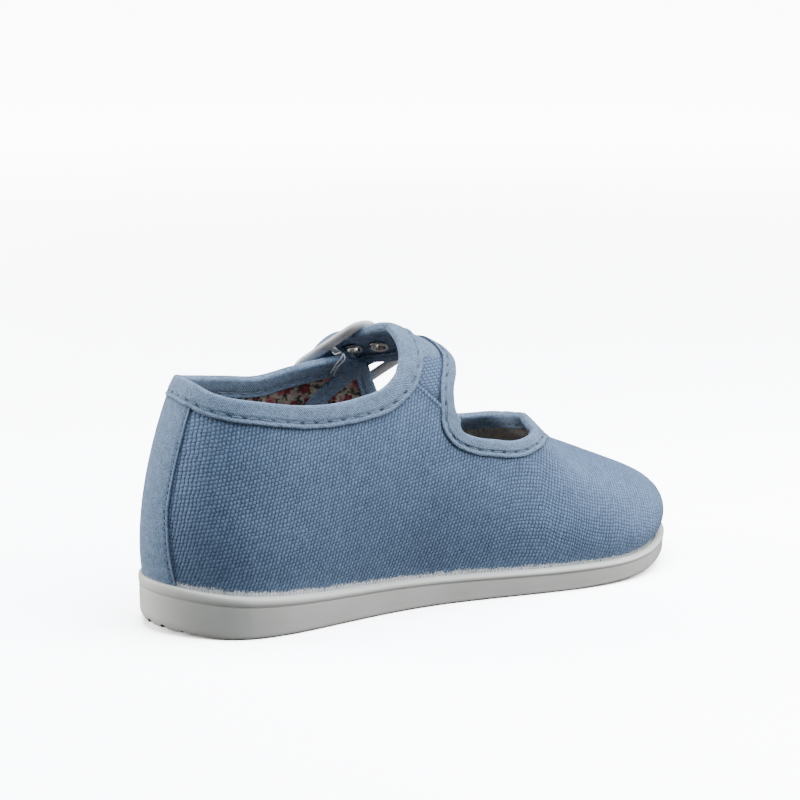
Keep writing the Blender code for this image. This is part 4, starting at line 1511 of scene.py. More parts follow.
def set_on_points(name: str, tree: bpy.types.NodeTree, spots: np.ndarray, run: np.ndarray,
                  stand: np.ndarray, sizes: dict[str, object]) -> bpy.types.Object:
    """Makes a piece by setting a tree's thing on points.

    Args:
        name: Name of the piece.
        tree: The tree that sets them.
        spots: The points, in millimetres.
        run: Directions that the things follow.
        stand: Directions that they stand up to.
        sizes: Values of the tree's inputs by name, lengths in metres.

    Returns:
        The things as one plain mesh.
    """
    mesh = bpy.data.meshes.new(name)
    mesh.from_pydata((spots - ORIGIN) * MM, [], [])
    for label, vectors in (("run", run), ("stand", stand)):
        layer = mesh.attributes.new(label, "FLOAT_VECTOR", "POINT")
        layer.data.foreach_set("vector", vectors.astype(np.float32).ravel())
    piece = added(name, mesh)
    maker = piece.modifiers.new("points", "NODES")
    maker.node_group = tree
    for item in tree.interface.items_tree:
        if item.in_out == "INPUT" and item.name in sizes:
            maker[item.identifier] = sizes[item.name]
    return as_plain_mesh(piece)


@dataclass
class Stitching:
    """Rows of thread stitches, laid by one Geometry Nodes tree on marked points."""

    length: float = 2.5
    thread: float = 0.17
    rise: float = 0.13
    seed: int = 7
    sides: int = 6
    end_sunk: float = 0.8
    top_rise: float = 1.6
    smallest: Point = (0.9, 0.85, 0.8)
    largest: Point = (1.06, 1.15, 1.2)

    def tree(self) -> bpy.types.NodeTree:
        """Builds the tree: a bent thread set on each point along its run, standing off its cloth.

        Returns:
            The tree, with its sizes and its material as named inputs.
        """
        base = PointTree("thread_stitches", ("Stitch Length", "Thread Radius", "Rise"))
        wire, given = base.wire, base.given
        half = wire.times(given["Stitch Length"], 0.5)
        back = wire.times(half, -1.0)
        sunk = wire.times(given["Rise"], -self.end_sunk)
        top = wire.times(given["Rise"], self.top_rise)
        bend = wire.node("GeometryNodeCurveQuadraticBezier",
                         {"Resolution": self.sides, "Start": wire.join(back, 0.0, sunk),
                          "Middle": wire.join(0.0, 0.0, top), "End": wire.join(half, 0.0, sunk)})
        thread = base.swept(bend.outputs[0], base.circle(self.sides, given["Thread Radius"]), caps=True)
        size = wire.node("FunctionNodeRandomValue", {"Min": self.smallest, "Max": self.largest,
                                                     "Seed": self.seed}, data_type="FLOAT_VECTOR")
        return base.finish(thread, {"Scale": size.outputs[0]})

    def sew(self, name: str, tree: bpy.types.NodeTree, spots: np.ndarray, run: np.ndarray,
            stand: np.ndarray, material: bpy.types.Material) -> bpy.types.Object:
        """Lays stitches on points.

        Args:
            name: Name of the piece.
            tree: The tree that lays them.
            spots: Middles of the stitches, in millimetres.
            run: Directions of the stitches.
            stand: Directions away from the cloth.
            material: Finish of the thread.

        Returns:
            The stitches as one plain mesh.
        """
        sizes = {"Stitch Length": self.length * MM, "Thread Radius": self.thread * MM,
                 "Rise": self.rise * MM, "Material": material}
        return set_on_points(name, tree, spots, run, stand, sizes)


@dataclass
class Sole:
    """Moulded rubber sole with a rim, a groove under it and notches at the back of the heel."""

    columns: int = 400
    heel_rim_loss: float = 0.6
    toe_rim_loss: float = 0.25
    heel_bevel: float = 3.6
    heel_bevel_end: float = 15.5
    notch_radius: float = 1.0
    notch_height: float = 2.1
    notch_slope: float = -0.29
    notch_pitch: float = 5.05
    notch_first: float = -11.4
    notch_count: int = 6
    notch_deep: float = 8.0
    groove_share: float = 0.74
    heel_fade: float = 20.0
    toe_from: float = 140.0
    toe_fade: float = 18.0
    girth: float = 400.0
    side_steps: int = 5
    bevel_power: float = 1.5
    notch_sides: int = 16

    def rim_share(self, turn: np.ndarray) -> np.ndarray:
        """How far the rim stands out: less at the back of the heel and at the tip of the toe.

        Args:
            turn: Places round the last.

        Returns:
            Shares of the rim's full reach.
        """
        x = LAST.row(turn)[..., X]
        heel = np.clip(1 - x / self.heel_fade, 0, 1)
        toe = np.clip((x - self.toe_from) / self.toe_fade, 0, 1)
        return 1 - self.heel_rim_loss * heel - self.toe_rim_loss * toe

    def build(self, stock: Stock) -> bpy.types.Object:
        """Builds the sole and cuts its notches.

        Args:
            stock: The finishes.

        Returns:
            The sole.
        """
        turn = np.arange(self.columns) / self.columns
        share_out = self.rim_share(turn)
        rings, cloth = [], []
        for out, share, lift, bevel in rounded(SOLE_SIDE, self.side_steps):
            plan, _ = LAST.outline(turn, out * share_out)
            x = plan[:, 0]
            top = along(SOLE_ROWS, x, TOP)
            tread = np.maximum(along(SOLE_ROWS, x, TREAD), 0.0)
            back = self.heel_bevel * np.clip(1 - x / self.heel_bevel_end, 0, 1) ** self.bevel_power
            z = np.maximum(tread + (top - tread) * share + lift + bevel * back, tread)
            rings.append(np.column_stack([plan, z]))
            # The second cloth value, height over the tread, sets the darkening along the bottom edge; the
            # third, the distance from the groove, places the painted shade in it
            groove = np.full(len(z), share - self.groove_share)
            flat = np.column_stack([turn * self.girth, z - tread, groove])
            cloth.append(np.concatenate([flat, flat[:1] + (self.girth, 0, 0)]))
        skin = Skin()
        skin.slab(rings, cloth)
        piece = skin.made("rubber_sole", stock.rubber, smooth=50)
        return cut_away(piece, self.notches(stock))

    def notches(self, stock: Stock) -> bpy.types.Object:
        """The rods that cut the notches at the back of the heel.

        Args:
            stock: The finishes.

        Returns:
            The rods as one shape.
        """
        skin = Skin()
        angles = round_angles(self.notch_sides)
        for number in range(self.notch_count):
            middle = self.notch_first + number * self.notch_pitch
            loop = np.column_stack([0 * angles, middle + self.notch_radius * np.cos(angles),
                                    self.notch_height + self.notch_radius * np.sin(angles)])
            way = self.notch_deep * np.array((1.0, 0.0, self.notch_slope))
            tube(skin, np.stack([loop - way, loop + way]))
        return skin.made("heel_notches", stock.rubber)

    def dress(self, stock: Stock) -> None:
        """Builds and places the sole."""
        place_piece(self.build(stock), Slot.SOLE, "sole")


@dataclass
class Insole:
    """Printed sock over the footbed, softly dished under heel and ball."""

    columns: int = 200
    rows: int = 26
    inset: float = 1.6
    thick: float = 2.0
    seat: float = 0.9
    dish: float = 0.5
    edge_rings: tuple[Pair, ...] = ((0.5, 0.0), (0.0, 0.4), (0.0, 1.4), (0.25, 1.85))
    top_rings: Pair = (0.03, 0.98)

    def dress(self, stock: Stock) -> None:
        """Builds and places the insole.

        Args:
            stock: The finishes.
        """
        turn = np.arange(self.columns) / self.columns
        plan, _ = LAST.outline(turn, np.full(self.columns, -self.inset))
        middle = np.column_stack([plan[:, 0], 0 * turn])
        rings = []
        for inset, lift in self.edge_rings:
            ring, _ = LAST.outline(turn, np.full(self.columns, -self.inset - inset))
            rings.append(np.column_stack([ring, along(SOLE_ROWS, ring[:, 0], TOP) - self.seat + lift]))
        for share in np.linspace(*self.top_rings, self.rows):
            ring = plan * (1 - share) + middle * share
            z = along(SOLE_ROWS, ring[:, 0], TOP) - self.seat + self.thick
            dip = self.dish * share * (2 - share)
            rings.append(np.column_stack([ring, z - dip]))
        cloth = [np.column_stack([ring[:, :2], 0 * turn]) for ring in rings]
        skin = Skin()
        skin.slab(rings, [np.concatenate([flat, flat[:1]]) for flat in cloth])
        place_piece(skin.made("printed_insole", stock.insole), Slot.INSOLE, "insole")


@dataclass
class Upper:
    """Canvas upper and the printed lining behind it, both cut from the last."""

    collar_steps: int = 190
    slant_steps: int = 16
    throat_steps: int = 190
    rows: int = 66
    tuck: float = 0.9
    canvas: float = 0.8
    edge_roll: float = 0.35
    edge_turn: float = 0.8
    hem_wide: float = 0.75
    hem_high: float = 0.4
    hem_lift: float = 0.1
    tail_top: Pair = (0.7440, 0.630)
    tail_end: Pair = (0.7700, 0.450)
    tail_half_wide: float = 2.7
    tail_thick: float = 0.5
    tail_edge: float = 0.4
    tail_under: float = 0.12
    tail_rows: int = 40
    tail_columns: int = 13
    hem_rows: int = 40
    hem_sides: int = 12
    relief_rise: float = 5.0
    foot_even: float = 0.55
    lining_gap: float = 0.03

    def opening(self) -> tuple[np.ndarray, np.ndarray]:
        """The cut edge of the canvas from the heel round by the inner side and back.

        Returns:
            Places of the edge, and the turn at the sole below each of them.
        """
        collar = LAST.through(COLLAR, self.collar_steps)
        slant = np.linspace(COLLAR[-1], THROAT[0], self.slant_steps)
        throat = LAST.through(THROAT, self.throat_steps)
        loop = np.concatenate([collar[:-1], slant[:-1], throat[:-1]])
        even = np.linspace(loop[0, 0], loop[0, 0] + 1, len(loop) + 1)[:-1]
        foot = self.foot_even * even + (1 - self.foot_even) * loop[:, 0]
        heel = int(np.argmin(np.abs(collar[:, 0])))
        loop = np.concatenate([loop[heel:], loop[:heel] + (1.0, 0.0)])
        foot = np.concatenate([foot[heel:], foot[:heel] + 1.0])
        return loop, foot

    def places(self, shares: np.ndarray) -> tuple[np.ndarray, np.ndarray]:
        """Turn and climb of a grid from the sole to the cut edge, one row for each share.

        Args:
            shares: Shares of the way from the sole to the edge.

        Returns:
            The turns and the climbs of the grid.
        """
        loop, foot = self.opening()
        share = shares[:, None]
        turn = loop[:, 0] + (foot - loop[:, 0]) * (1 - share) ** 2
        return turn, loop[:, 1] * share

    def flat_cloth(self, shares: np.ndarray) -> np.ndarray:
        """Where each place of the grid lay in the flat canvas, with its height over the sole.

        Args:
            shares: The rows of the grid.

        Returns:
            Rows by columns and one by three, in millimetres.
        """
        turn, climb = self.places(shares)
        spots = LAST.surface(turn, climb)
        rise = travelled(spots)
        turn = np.concatenate([turn, turn[:, :1] + 1], 1)
        climb = np.concatenate([climb, climb[:, :1]], 1)
        flat = FlatCloth().places(np.clip(turn, 0, 1), climb)
        return np.concatenate([flat, np.concatenate([rise, rise[:, :1]], 1)[..., None]], -1)

    def wall(self, outer: float, inner: float, roll: float) -> Skin:
        """One layer of the upper between two depths under its outer face.

        Args:
            outer: Depth of its outer face.
            inner: Depth of its inner face.
            roll: How far its cut edge is rounded over.

        Returns:
            The closed layer.
        """
        shares = np.linspace(0, 1, self.rows)
        turn, climb = self.places(shares)
        spots = LAST.surface(turn, climb)
        normal = LAST.facing(turn, np.maximum(climb, LOWEST_FACING))
        relief = LAST.relief(spots) * np.clip(shares * self.relief_rise, 0, 1)[:, None]
        spots = spots + normal * relief[..., None]
        cloth = self.flat_cloth(shares)
        over = unit(spots[-1] - spots[-2]) * roll
        tuck = np.array([0.0, 0.0, self.tuck])
        middle = (outer + inner) / 2
        front = spots - normal * outer
        back = spots - normal * inner
        edge = [spots[-1] + over * reach - normal[-1] * depth
                for reach, depth in ((self.edge_turn, outer * 0.75 + middle * 0.25), (1.0, middle),
                                     (self.edge_turn, inner * 0.75 + middle * 0.25))]
        rings = [back[0] - tuck, front[0] - tuck, *front, *edge, *back[::-1]]
        flat = [cloth[0], cloth[0], *cloth, cloth[-1], cloth[-1], cloth[-1], *cloth[::-1]]
        skin = Skin()
        skin.grid(np.array(rings), np.array([*flat, flat[0]]), closed=True, ring=True)
        return skin

    def inner_tape(self, stock: Stock) -> None:
        """Builds and places the tape that holds the buckle, where it runs down inside the far quarter.

        Args:
            stock: The finishes.
        """
        path = np.linspace(self.tail_top, self.tail_end, self.tail_rows)
        spots = LAST.surface(*path.T)
        normal = LAST.facing(*path.T)
        aside = np.cross(normal, unit(np.gradient(spots, axis=0)))
        across = np.linspace(-1, 1, self.tail_columns) * self.tail_half_wide
        turn, climb = [], []
        for far in across:
            place = LAST.walk(*path.T, aside, np.full(len(path), far))
            turn.append(place[0])
            climb.append(place[1])
        turn, climb = np.stack(turn, 1), np.stack(climb, 1)
        spots, normal = LAST.surface(turn, climb), LAST.facing(turn, climb)
        edge = np.clip((self.tail_half_wide - np.abs(across)) / self.tail_edge, 0, 1)
        depth = WALL + self.tail_under + self.tail_thick * np.sqrt(edge)
        length = travelled(spots[:, self.tail_columns // 2])
        cloth = np.stack(np.broadcast_arrays(length[:, None], across[None], NO_EDGE), -1)
        skin = shell(spots - normal * WALL, spots - normal * depth[None, :, None], cloth)
        place_piece(skin.made("inner_tape", stock.strap), Slot.STRAP)

    def hem(self, stock: Stock) -> None:
        """Builds and places the folded hem of the canvas over the elastic.

        Args:
            stock: The finishes.
        """
        path = np.linspace(COLLAR[-1], THROAT[0], self.hem_rows)
        spots = LAST.surface(*path.T)
        normal = LAST.facing(*path.T)
        run = unit(np.gradient(spots, axis=0))
        aside = np.cross(normal, run)
        angles = round_angles(self.hem_sides)
        wide = self.hem_wide * np.cos(angles)[None, :, None] * aside[:, None]
        high = self.hem_high * np.sin(angles)[None, :, None] * normal[:, None]
        flat = FlatCloth().places(*path.T)
        round_it = np.concatenate([angles, angles[:1] + 2 * math.pi]) * self.hem_high
        along_yarn = flat[:, None, 1] + round_it[None]
        cloth = np.stack(np.broadcast_arrays(flat[:, None, 0], along_yarn, NO_EDGE), -1)
        skin = Skin()
        tube(skin, (spots + normal * self.hem_lift)[:, None] + wide + high, cloth)
        place_piece(skin.made("canvas_hem", stock.canvas), Slot.CANVAS)

    def dress(self, stock: Stock) -> None:
        """Builds and places the canvas and its lining.

        Args:
            stock: The finishes.
        """
        canvas = self.wall(0.0, self.canvas, self.edge_roll).made("canvas_upper", stock.canvas)
        place_piece(canvas, Slot.CANVAS, "upper")
        lining = self.wall(self.canvas + self.lining_gap, WALL, 0.0).made("print_lining", stock.lining)
        place_piece(lining, Slot.INSOLE)
        self.hem(stock)
        self.inner_tape(stock)


@dataclass
class HeelTape:
    """Broad tape down the back of the heel, with a row of stitches along each edge."""

    stitch_in: ClassVar[float] = 1.05
    stitch_pitch: ClassVar[float] = 1.6
    rows: int = 90
    columns: int = 48
    top: float = 0.60
    full_at: float = 0.522
    thick: float = 0.55
    half: float = 0.031
    foot_flare: float = 0.013
    foot_reach: float = 0.25
    top_flare: float = 0.012
    start: float = -0.004
    edge_roll: float = 0.3
    sink: float = 0.2
    sink_reach: float = 0.35
    bedded: float = 0.15
    stitch_bed: float = 0.22
    stitch_long: float = 1.15
    stitch_thread: float = 0.13
    stitch_rise: float = 0.12

    def half_width(self, climb: np.ndarray) -> np.ndarray:
        """Half the tape's width as a turn of the last."""
        flare = self.foot_flare * np.clip(1 - climb / self.foot_reach, 0, 1)
        return self.half + flare + self.top_flare * (climb / self.full_at) ** 2

    def dress(self, stock: Stock, tree: bpy.types.NodeTree) -> None:
        """Builds and places the tape and its stitches.

        Args:
            stock: The finishes.
            tree: The tree that lays the stitches.
        """
        climbs = np.linspace(self.start, self.top, self.rows)
        share = np.sin(np.linspace(-1, 1, self.columns) * math.pi / 2)
        turn = self.half_width(climbs)[:, None] * share
        climb = np.repeat(climbs[:, None], self.columns, 1)
        spots = LAST.surface(turn, climb)
        normal = LAST.facing(turn, np.maximum(climb, LOWEST_FACING))
        run = travelled(spots, 1)
        edge = np.minimum(run, run[:, -1:] - run)
        rise = np.repeat(travelled(spots[:, self.columns // 2])[:, None], self.columns, 1)
        rolled = 1 - np.clip(edge / self.edge_roll, 0, 1)
        height = self.thick * np.sqrt(np.clip(1 - rolled**2, 0, 1))
        height = height - self.sink * np.exp(-(((edge - self.stitch_in) / self.sink_reach) ** 2))
        # The third cloth value, the distance from the tape's edge, places the painted shade in the needle
        # holes and along the edge
        cloth = np.stack([rise, run, edge], -1)
        skin = shell(spots + normal * height[..., None], spots - normal * self.bedded, cloth)
        place_piece(skin.made("heel_tape", stock.heel), Slot.HEEL_TAPE, "heel_strip")
        marks = np.arange(self.stitch_pitch, rise[-1, 0] - 1, self.stitch_pitch)
        level = np.interp(marks, rise[:, 0], climbs)
        middles, runs, stands = [], [], []
        for side in (-1, 1):
            half = self.half_width(level)
            width = np.interp(level, climbs, run[:, -1])
            turns = side * half * np.sin(np.arcsin(np.clip(1 - 2 * self.stitch_in / width, 0, 1)))
            face = LAST.facing(turns, level)
            middles.append(LAST.surface(turns, level) + face * (self.thick - self.stitch_bed))
            runs.append(unit(LAST.slopes(turns, level)[1]))
            stands.append(face)
        fine = Stitching(self.stitch_long, self.stitch_thread, self.stitch_rise)
        place_piece(fine.sew("heel_tape_stitches", tree, np.concatenate(middles), np.concatenate(runs),
                             np.concatenate(stands), stock.thread), Slot.HEEL_TAPE)


@dataclass
class Binding:
    """Tape folded over a cut edge, with a ridge along its sewn fold and a row of stitches."""

    stitch_in: ClassVar[float] = 1.55
    name: str = "collar"
    fine: int = 7
    edge_steps: int = 41
    strap_steps: int = 32
    roll: float = 0.92
    bunch: Pair | None = None
    bunch_reach: float = 2.2
    inner_leg: float = 5.0
    strap_ease: float = 0.12
    ease_from: float = 1.1
    ease_over: float = 0.1
    stitch_pitch: float = 3.7
    heel_lift: float = 0.3
    heel_half: float = 0.046
    heel_fade: float = 0.008
    waver: float = 0.10
    waver_rate: float = 0.35
    swell_rate: float = 0.5
    swell_shift: float = 9.0
    pucker: float = 0.05
    bunch_spread: float = 2.6
    inner_stitch_in: float = 1.5
    stitch_height: float = 0.40

    def places(self, knots: tuple, steps: int) -> np.ndarray:
        """Places along a cut edge, with the tape's fineness between two steps."""
        return LAST.through(knots, steps * self.fine + 1)

    def over_heel(self, turn: np.ndarray) -> np.ndarray:
        """How far the tape is lifted where it passes over the heel tape."""
        inside = self.heel_half + self.heel_fade - np.abs(turn)
        return self.heel_lift * np.clip(inside / self.heel_fade, 0, 1)

    def section(self) -> np.ndarray:
        """The folded tape, as the share of its leg, an added distance and a height over the canvas.

        Returns:
            Rows of (share of the outer leg, share of the inner leg, distance, height).
        """
        under = -WALL
        knots = (
            (1, 0, -0.06, 0.0), (1, 0, 0.0, 0.28), (1, 0, -0.25, 0.58), (1, 0, -0.75, 0.64),
            (1, 0, -self.stitch_in, 0.36), (1, 0, -2.2, 0.56), (0.5, 0, 0.0, 0.62), (0, 0, 0.4, 0.6),
            (0, 0, -0.4, 0.40), (0, 0, -0.82, -0.1), (0, 0, -self.roll, under / 2),
            (0, 0, -0.82, under + 0.1), (0, 0, -0.4, under - 0.40), (0, 0, 0.4, under - 0.6),
            (0, 0.5, 0.0, under - 0.6), (0, 1, -1.5, under - 0.36), (0, 1, -0.4, under - 0.58),
            (0, 1, 0.0, under - 0.28), (0, 1, -0.06, under),
        )
        return rounded(knots, 3)

    def lay(self, path: np.ndarray, into: np.ndarray, height: np.ndarray) -> tuple[np.ndarray, np.ndarray]:
        """Points beside a path over the last.

        Args:
            path: Places of the cut edge.
            into: Distance from the edge into the piece, at each place.
            height: Height over the outer face of the canvas.

        Returns:
            The points and the normals there.
        """
        turn, climb = path[:, 0], path[:, 1]
        tangent = unit(np.gradient(LAST.surface(turn, climb), axis=0))
        heading = np.cross(tangent, LAST.facing(turn, climb))
        turn, climb = LAST.walk(turn, climb, heading, into)
        ease = self.strap_ease * np.clip((climb - self.ease_from) / self.ease_over, 0, 1)
        height = height + ease * np.sign(height + WALL / 2) + LAST.strap_lift(turn, climb)
        normal = LAST.facing(turn, climb)
        return LAST.surface(turn, climb) + normal * height[:, None], normal

    def dress(self, path: np.ndarray, legs: np.ndarray, stock: Stock, stitching: Stitching,
              tree: bpy.types.NodeTree) -> None:
        """Builds and places the tape along a path, and its stitches.

        Args:
            path: Places of the cut edge.
            legs: How far the tape reaches over the outer face at each place.
            stock: The finishes.
            stitching: The kind of stitch.
            tree: The tree that lays the stitches.
        """
        length = travelled(LAST.surface(*path.T))
        legs = legs + self.waver * wavering(length, self.waver_rate)
        beat = np.cos(2 * math.pi * length / self.stitch_pitch)
        gather = np.zeros(len(path))
        if self.bunch:
            spot = np.argmin(np.linalg.norm(path - self.bunch, axis=1))
            gather = np.exp(-(((length - length[spot]) / self.bunch_spread) ** 2)) * self.bunch_reach
        rings, cloth = [], []
        for outer, inner, distance, height in self.section():
            into = outer * legs + inner * np.minimum(legs, self.inner_leg) + distance
            into = into - gather * np.clip(-distance, 0, 1) * (outer == 0) * (inner == 0)
            edge = legs - into if height > -WALL / 2 else np.full(len(path), -NO_EDGE)
            pucker = self.pucker * beat * np.exp(-((edge - self.stitch_in) ** 2))
            swell = 1 + self.waver * wavering(length + self.swell_shift, self.swell_rate)
            raised = height * np.where(height > 0, swell, 1) + pucker + outer * self.over_heel(path[:, 0])
            points, _ = self.lay(path, into, raised)
            rings.append(points)
            # The third cloth value, the distance from the tape's edge, places the painted shade in the needle
            # holes and along the fold's edge
            cloth.append(np.column_stack([length, into * np.sign(height + WALL / 2), edge]))
        skin = Skin()
        tube(skin, np.stack(rings, 1), np.stack([*cloth, cloth[0]], 1))
        place_piece(skin.made(f"{self.name}_tape", stock.binding), Slot.BINDING, f"{self.name}_binding")
        marks = np.arange(self.stitch_pitch, length[-1] - self.stitch_pitch, self.stitch_pitch)
        fine = np.column_stack([np.interp(marks, length, path[:, axis]) for axis in (0, 1)])
        reach = np.interp(marks, length, legs)
        spots, stands = [], []
        inner = np.minimum(reach, self.inner_leg) - self.inner_stitch_in
        rows = ((reach - self.stitch_in, self.stitch_height), (inner, -WALL - self.stitch_height))
        for into, height in rows:
            raised = height + (height > 0) * self.over_heel(fine[:, 0])
            points, normal = self.lay(fine, into, raised)
            spots.append(points)
            stands.append(normal * np.sign(height))
        runs = [unit(np.gradient(points, axis=0)) for points in spots]
        place_piece(stitching.sew(f"{self.name}_stitches", tree, np.concatenate(spots),
                                  np.concatenate(runs), np.concatenate(stands), stock.thread), Slot.BINDING)


@dataclass
class Strap:
    """Strap over the instep: an elastic root, a cloth strap with eyelets, and tape on both edges."""

    start_rear: float = 0.075
    start_front: float = 0.268
    overlap: float = 0.02
    fine: int = 201
    gore_under: float = 0.5
    pressed: float = 0.32
    press_reach: float = 1.6
    rib_pitch: float = 0.9
    rib_deep: float = 0.10
    level_rise: float = 1.25
    eyelet_hole: float = 2.2
    elastic_rows: int = 200
    elastic_columns: int = 40
    cloth_rows: int = 140
    cloth_columns: int = 26
    cloth_sunk: float = 0.1
    elastic_back: float = 0.05
    punch_in: float = 4.0
    punch_out: float = 3.0
    punch_sides: int = 24
    tuck_step: float = 0.025
    axis_step: float = 0.004

    def places(self, shares: np.ndarray) -> tuple[np.ndarray, np.ndarray]:
        """Turn and climb of a grid over the strap.

        Args:
            shares: Rows by columns, how far along the strap each place lies.

        Returns:
            The turns and the climbs of the grid.
        """
        rear = LAST.through(STRAP_REAR, self.fine)
        front = LAST.through(STRAP_FRONT, self.fine)
        index = np.linspace(0, 1, self.fine)
        mix = np.linspace(0, 1, shares.shape[1])
        turn, climb = (np.interp(shares, index, rear[:, axis]) * (1 - mix)
                       + np.interp(shares, index, front[:, axis]) * mix for axis in (0, 1))
        return turn, climb

    def cloth_start(self, columns: int) -> np.ndarray:
        """Share of the length where the cloth begins, so that its edge lies level over the elastic."""
        return self.start_rear + (self.start_front - self.start_rear) * np.linspace(0, 1, columns)

    def face(self, turn: np.ndarray, climb: np.ndarray) -> tuple[np.ndarray, np.ndarray]:
        """Outer face of the strap and its normals."""
        normal = LAST.facing(turn, climb)
        return LAST.surface(turn, climb) + normal * LAST.strap_lift(turn, climb)[..., None], normal

    def flat(self, spots: np.ndarray) -> np.ndarray:
        """Cloth places of a grid over the strap: across it, along it, and zero.

        Args:
            spots: Points of the grid.

        Returns:
            Rows by columns by three, in millimetres.
        """
        wide = travelled(spots, 1)
        long = np.repeat(travelled(spots).mean(1)[:, None], spots.shape[1], 1)
        return np.stack([wide, long, 0 * wide], -1)

    def elastic(self, stock: Stock) -> None:
        """Builds and places the ribbed elastic root, which runs down behind the canvas.

        Args:
            stock: The finishes.
        """
        ends = self.cloth_start(self.elastic_columns) + self.overlap
        shares = np.linspace(0, 1, self.elastic_rows)[:, None] * ends
        turn, climb = self.places(shares)
        turn = np.concatenate([turn[:1], turn[:1], turn])
        climb = np.concatenate([climb[:1] - 2 * self.tuck_step, climb[:1] - self.tuck_step, climb])
        spots, normal = self.face(turn, climb)
        cloth = self.flat(spots)
        # The third cloth value is the distance up from the canvas's hem, which sets the painted shade beside
        # it
        cloth[..., 2] = cloth[..., 1] - cloth[2, :, 1]
        cloth[..., 1] = spots[..., 2] * self.level_rise
        rib = np.abs(np.sin(cloth[..., 1] / self.rib_pitch * math.pi))
        sunk = self.gore_under - self.rib_deep * rib
        skin = shell(spots - normal * sunk[..., None], spots - normal * (WALL - self.elastic_back), cloth)
        place_piece(skin.made("elastic_web", stock.elastic, smooth=80), Slot.ELASTIC, "elastic_gore")

    def cloth_strap(self, stock: Stock) -> None:
        """Builds and places the cloth strap with its punched holes.

        Args:
            stock: The finishes.
        """
        start = self.cloth_start(self.cloth_columns)
        turn, climb = self.places(start + (1 - start) * np.linspace(0, 1, self.cloth_rows)[:, None])
        spots, normal = self.face(turn, climb)
        cloth = self.flat(spots)
        sunk = self.cloth_sunk + self.pressed * np.exp(-((cloth[..., 1] / self.press_reach) ** 2))
        front = spots - normal * sunk[..., None]
        piece = shell(front, spots - normal * WALL, cloth).made("strap_cloth", stock.strap)
        holes = Skin()
        angles = round_angles(self.punch_sides)
        for middle, side, up, out in (self.eyelet_axes(place) for place in EYELET_PLACES):
            ring = np.cos(angles)[:, None] * side + np.sin(angles)[:, None] * up
            loop = middle + self.eyelet_hole * ring
            tube(holes, np.stack([loop - out * self.punch_in, loop + out * self.punch_out]))
        place_piece(cut_away(piece, holes.made("strap_holes", stock.strap)), Slot.STRAP, "strap")

    def eyelet_axes(self, place: Pair) -> tuple[np.ndarray, ...]:
        """Middle of an eyelet and its directions across the strap, along it and outwards.

        Args:
            place: Turn and climb of its middle.

        Returns:
            The middle, in millimetres, and the three directions.
        """
        turn, climb = np.array(place[0]), np.array(place[1])
        low, high = (self.face(turn, climb + step)[0] for step in (-self.axis_step, self.axis_step))
        up = unit(high - low)
        side = LAST.slopes(turn, climb)[0]
        side = unit(side - up * (side @ up))
        return self.face(turn, climb)[0], side, up, np.cross(side, up)

    def dress(self, stock: Stock) -> None:
        """Builds and places the elastic and the strap."""
        self.elastic(stock)
        self.cloth_strap(stock)


@dataclass
class Eyelets:
    """Plated eyelets through the strap, laid by a Geometry Nodes tree."""

    bore: float = 1.55
    flange: float = 2.9
    bead: float = 0.42
    wall: float = 0.3
    past_wall: float = 0.3
    inner_reach: float = 0.85
    ring_points: int = 40
    bead_points: int = 12
    rod_points: int = 10

    def tree(self) -> bpy.types.NodeTree:
        """Builds the tree: a barrel between a broad outer bead and a narrower inner one.

        Returns:
            The tree, with its sizes and its material as named inputs.
        """
        base = PointTree("punched_eyelets", ("Bore", "Flange", "Bead", "Wall", "Depth"))
        wire, given = base.wire, base.given
        middle = wire.times(wire.plus(given["Bore"], given["Flange"]), 0.5)
        broad = wire.times(wire.minus(given["Flange"], given["Bore"]), 0.5)
        flat = wire.over(given["Bead"], broad)
        joined = wire.node("GeometryNodeJoinGeometry")
        outer = (given["Bead"], 1.0)
        inner = (wire.times(given["Depth"], -1.0), self.inner_reach)
        rings = [(middle, wire.times(broad, reach), self.bead_points, height, flat)
                 for height, reach in (outer, inner)]
        thin = wire.times(given["Wall"], 0.5)
        tall = wire.over(wire.plus(given["Depth"], given["Bead"]), given["Wall"])
        low = wire.times(wire.minus(given["Bead"], given["Depth"]), 0.5)
        rings.append((wire.plus(given["Bore"], thin), thin, self.rod_points, low, tall))
        for radius, section, points, height, stretch in rings:
            swept = base.swept(base.circle(self.ring_points, radius), base.circle(points, section))
            laid = wire.node("GeometryNodeTransform", {"Geometry": swept,
                                                       "Translation": wire.join(0.0, 0.0, height),
                                                       "Scale": wire.join(1.0, 1.0, stretch)})
            wire.feed(joined.inputs[0], laid.outputs[0])
        return base.finish(joined.outputs[0])

    def dress(self, strap: Strap, stock: Stock) -> None:
        """Builds and places the four eyelets.

        Args:
            strap: The strap that they go through.
            stock: The finishes.
        """
        axes = [strap.eyelet_axes(place) for place in EYELET_PLACES]
        middles, sides, _, outs = (np.array(column) for column in zip(*axes))
        sizes = {"Bore": self.bore * MM, "Flange": self.flange * MM, "Bead": self.bead * MM,
                 "Wall": self.wall * MM, "Depth": (WALL + self.past_wall) * MM, "Material": stock.metal}
        piece = set_on_points("eyelet_rings", self.tree(), middles, sides, outs, sizes)
        place_piece(piece, Slot.EYELET, "eyelet_a", "eyelet_b", "eyelet_c", "eyelet_d")


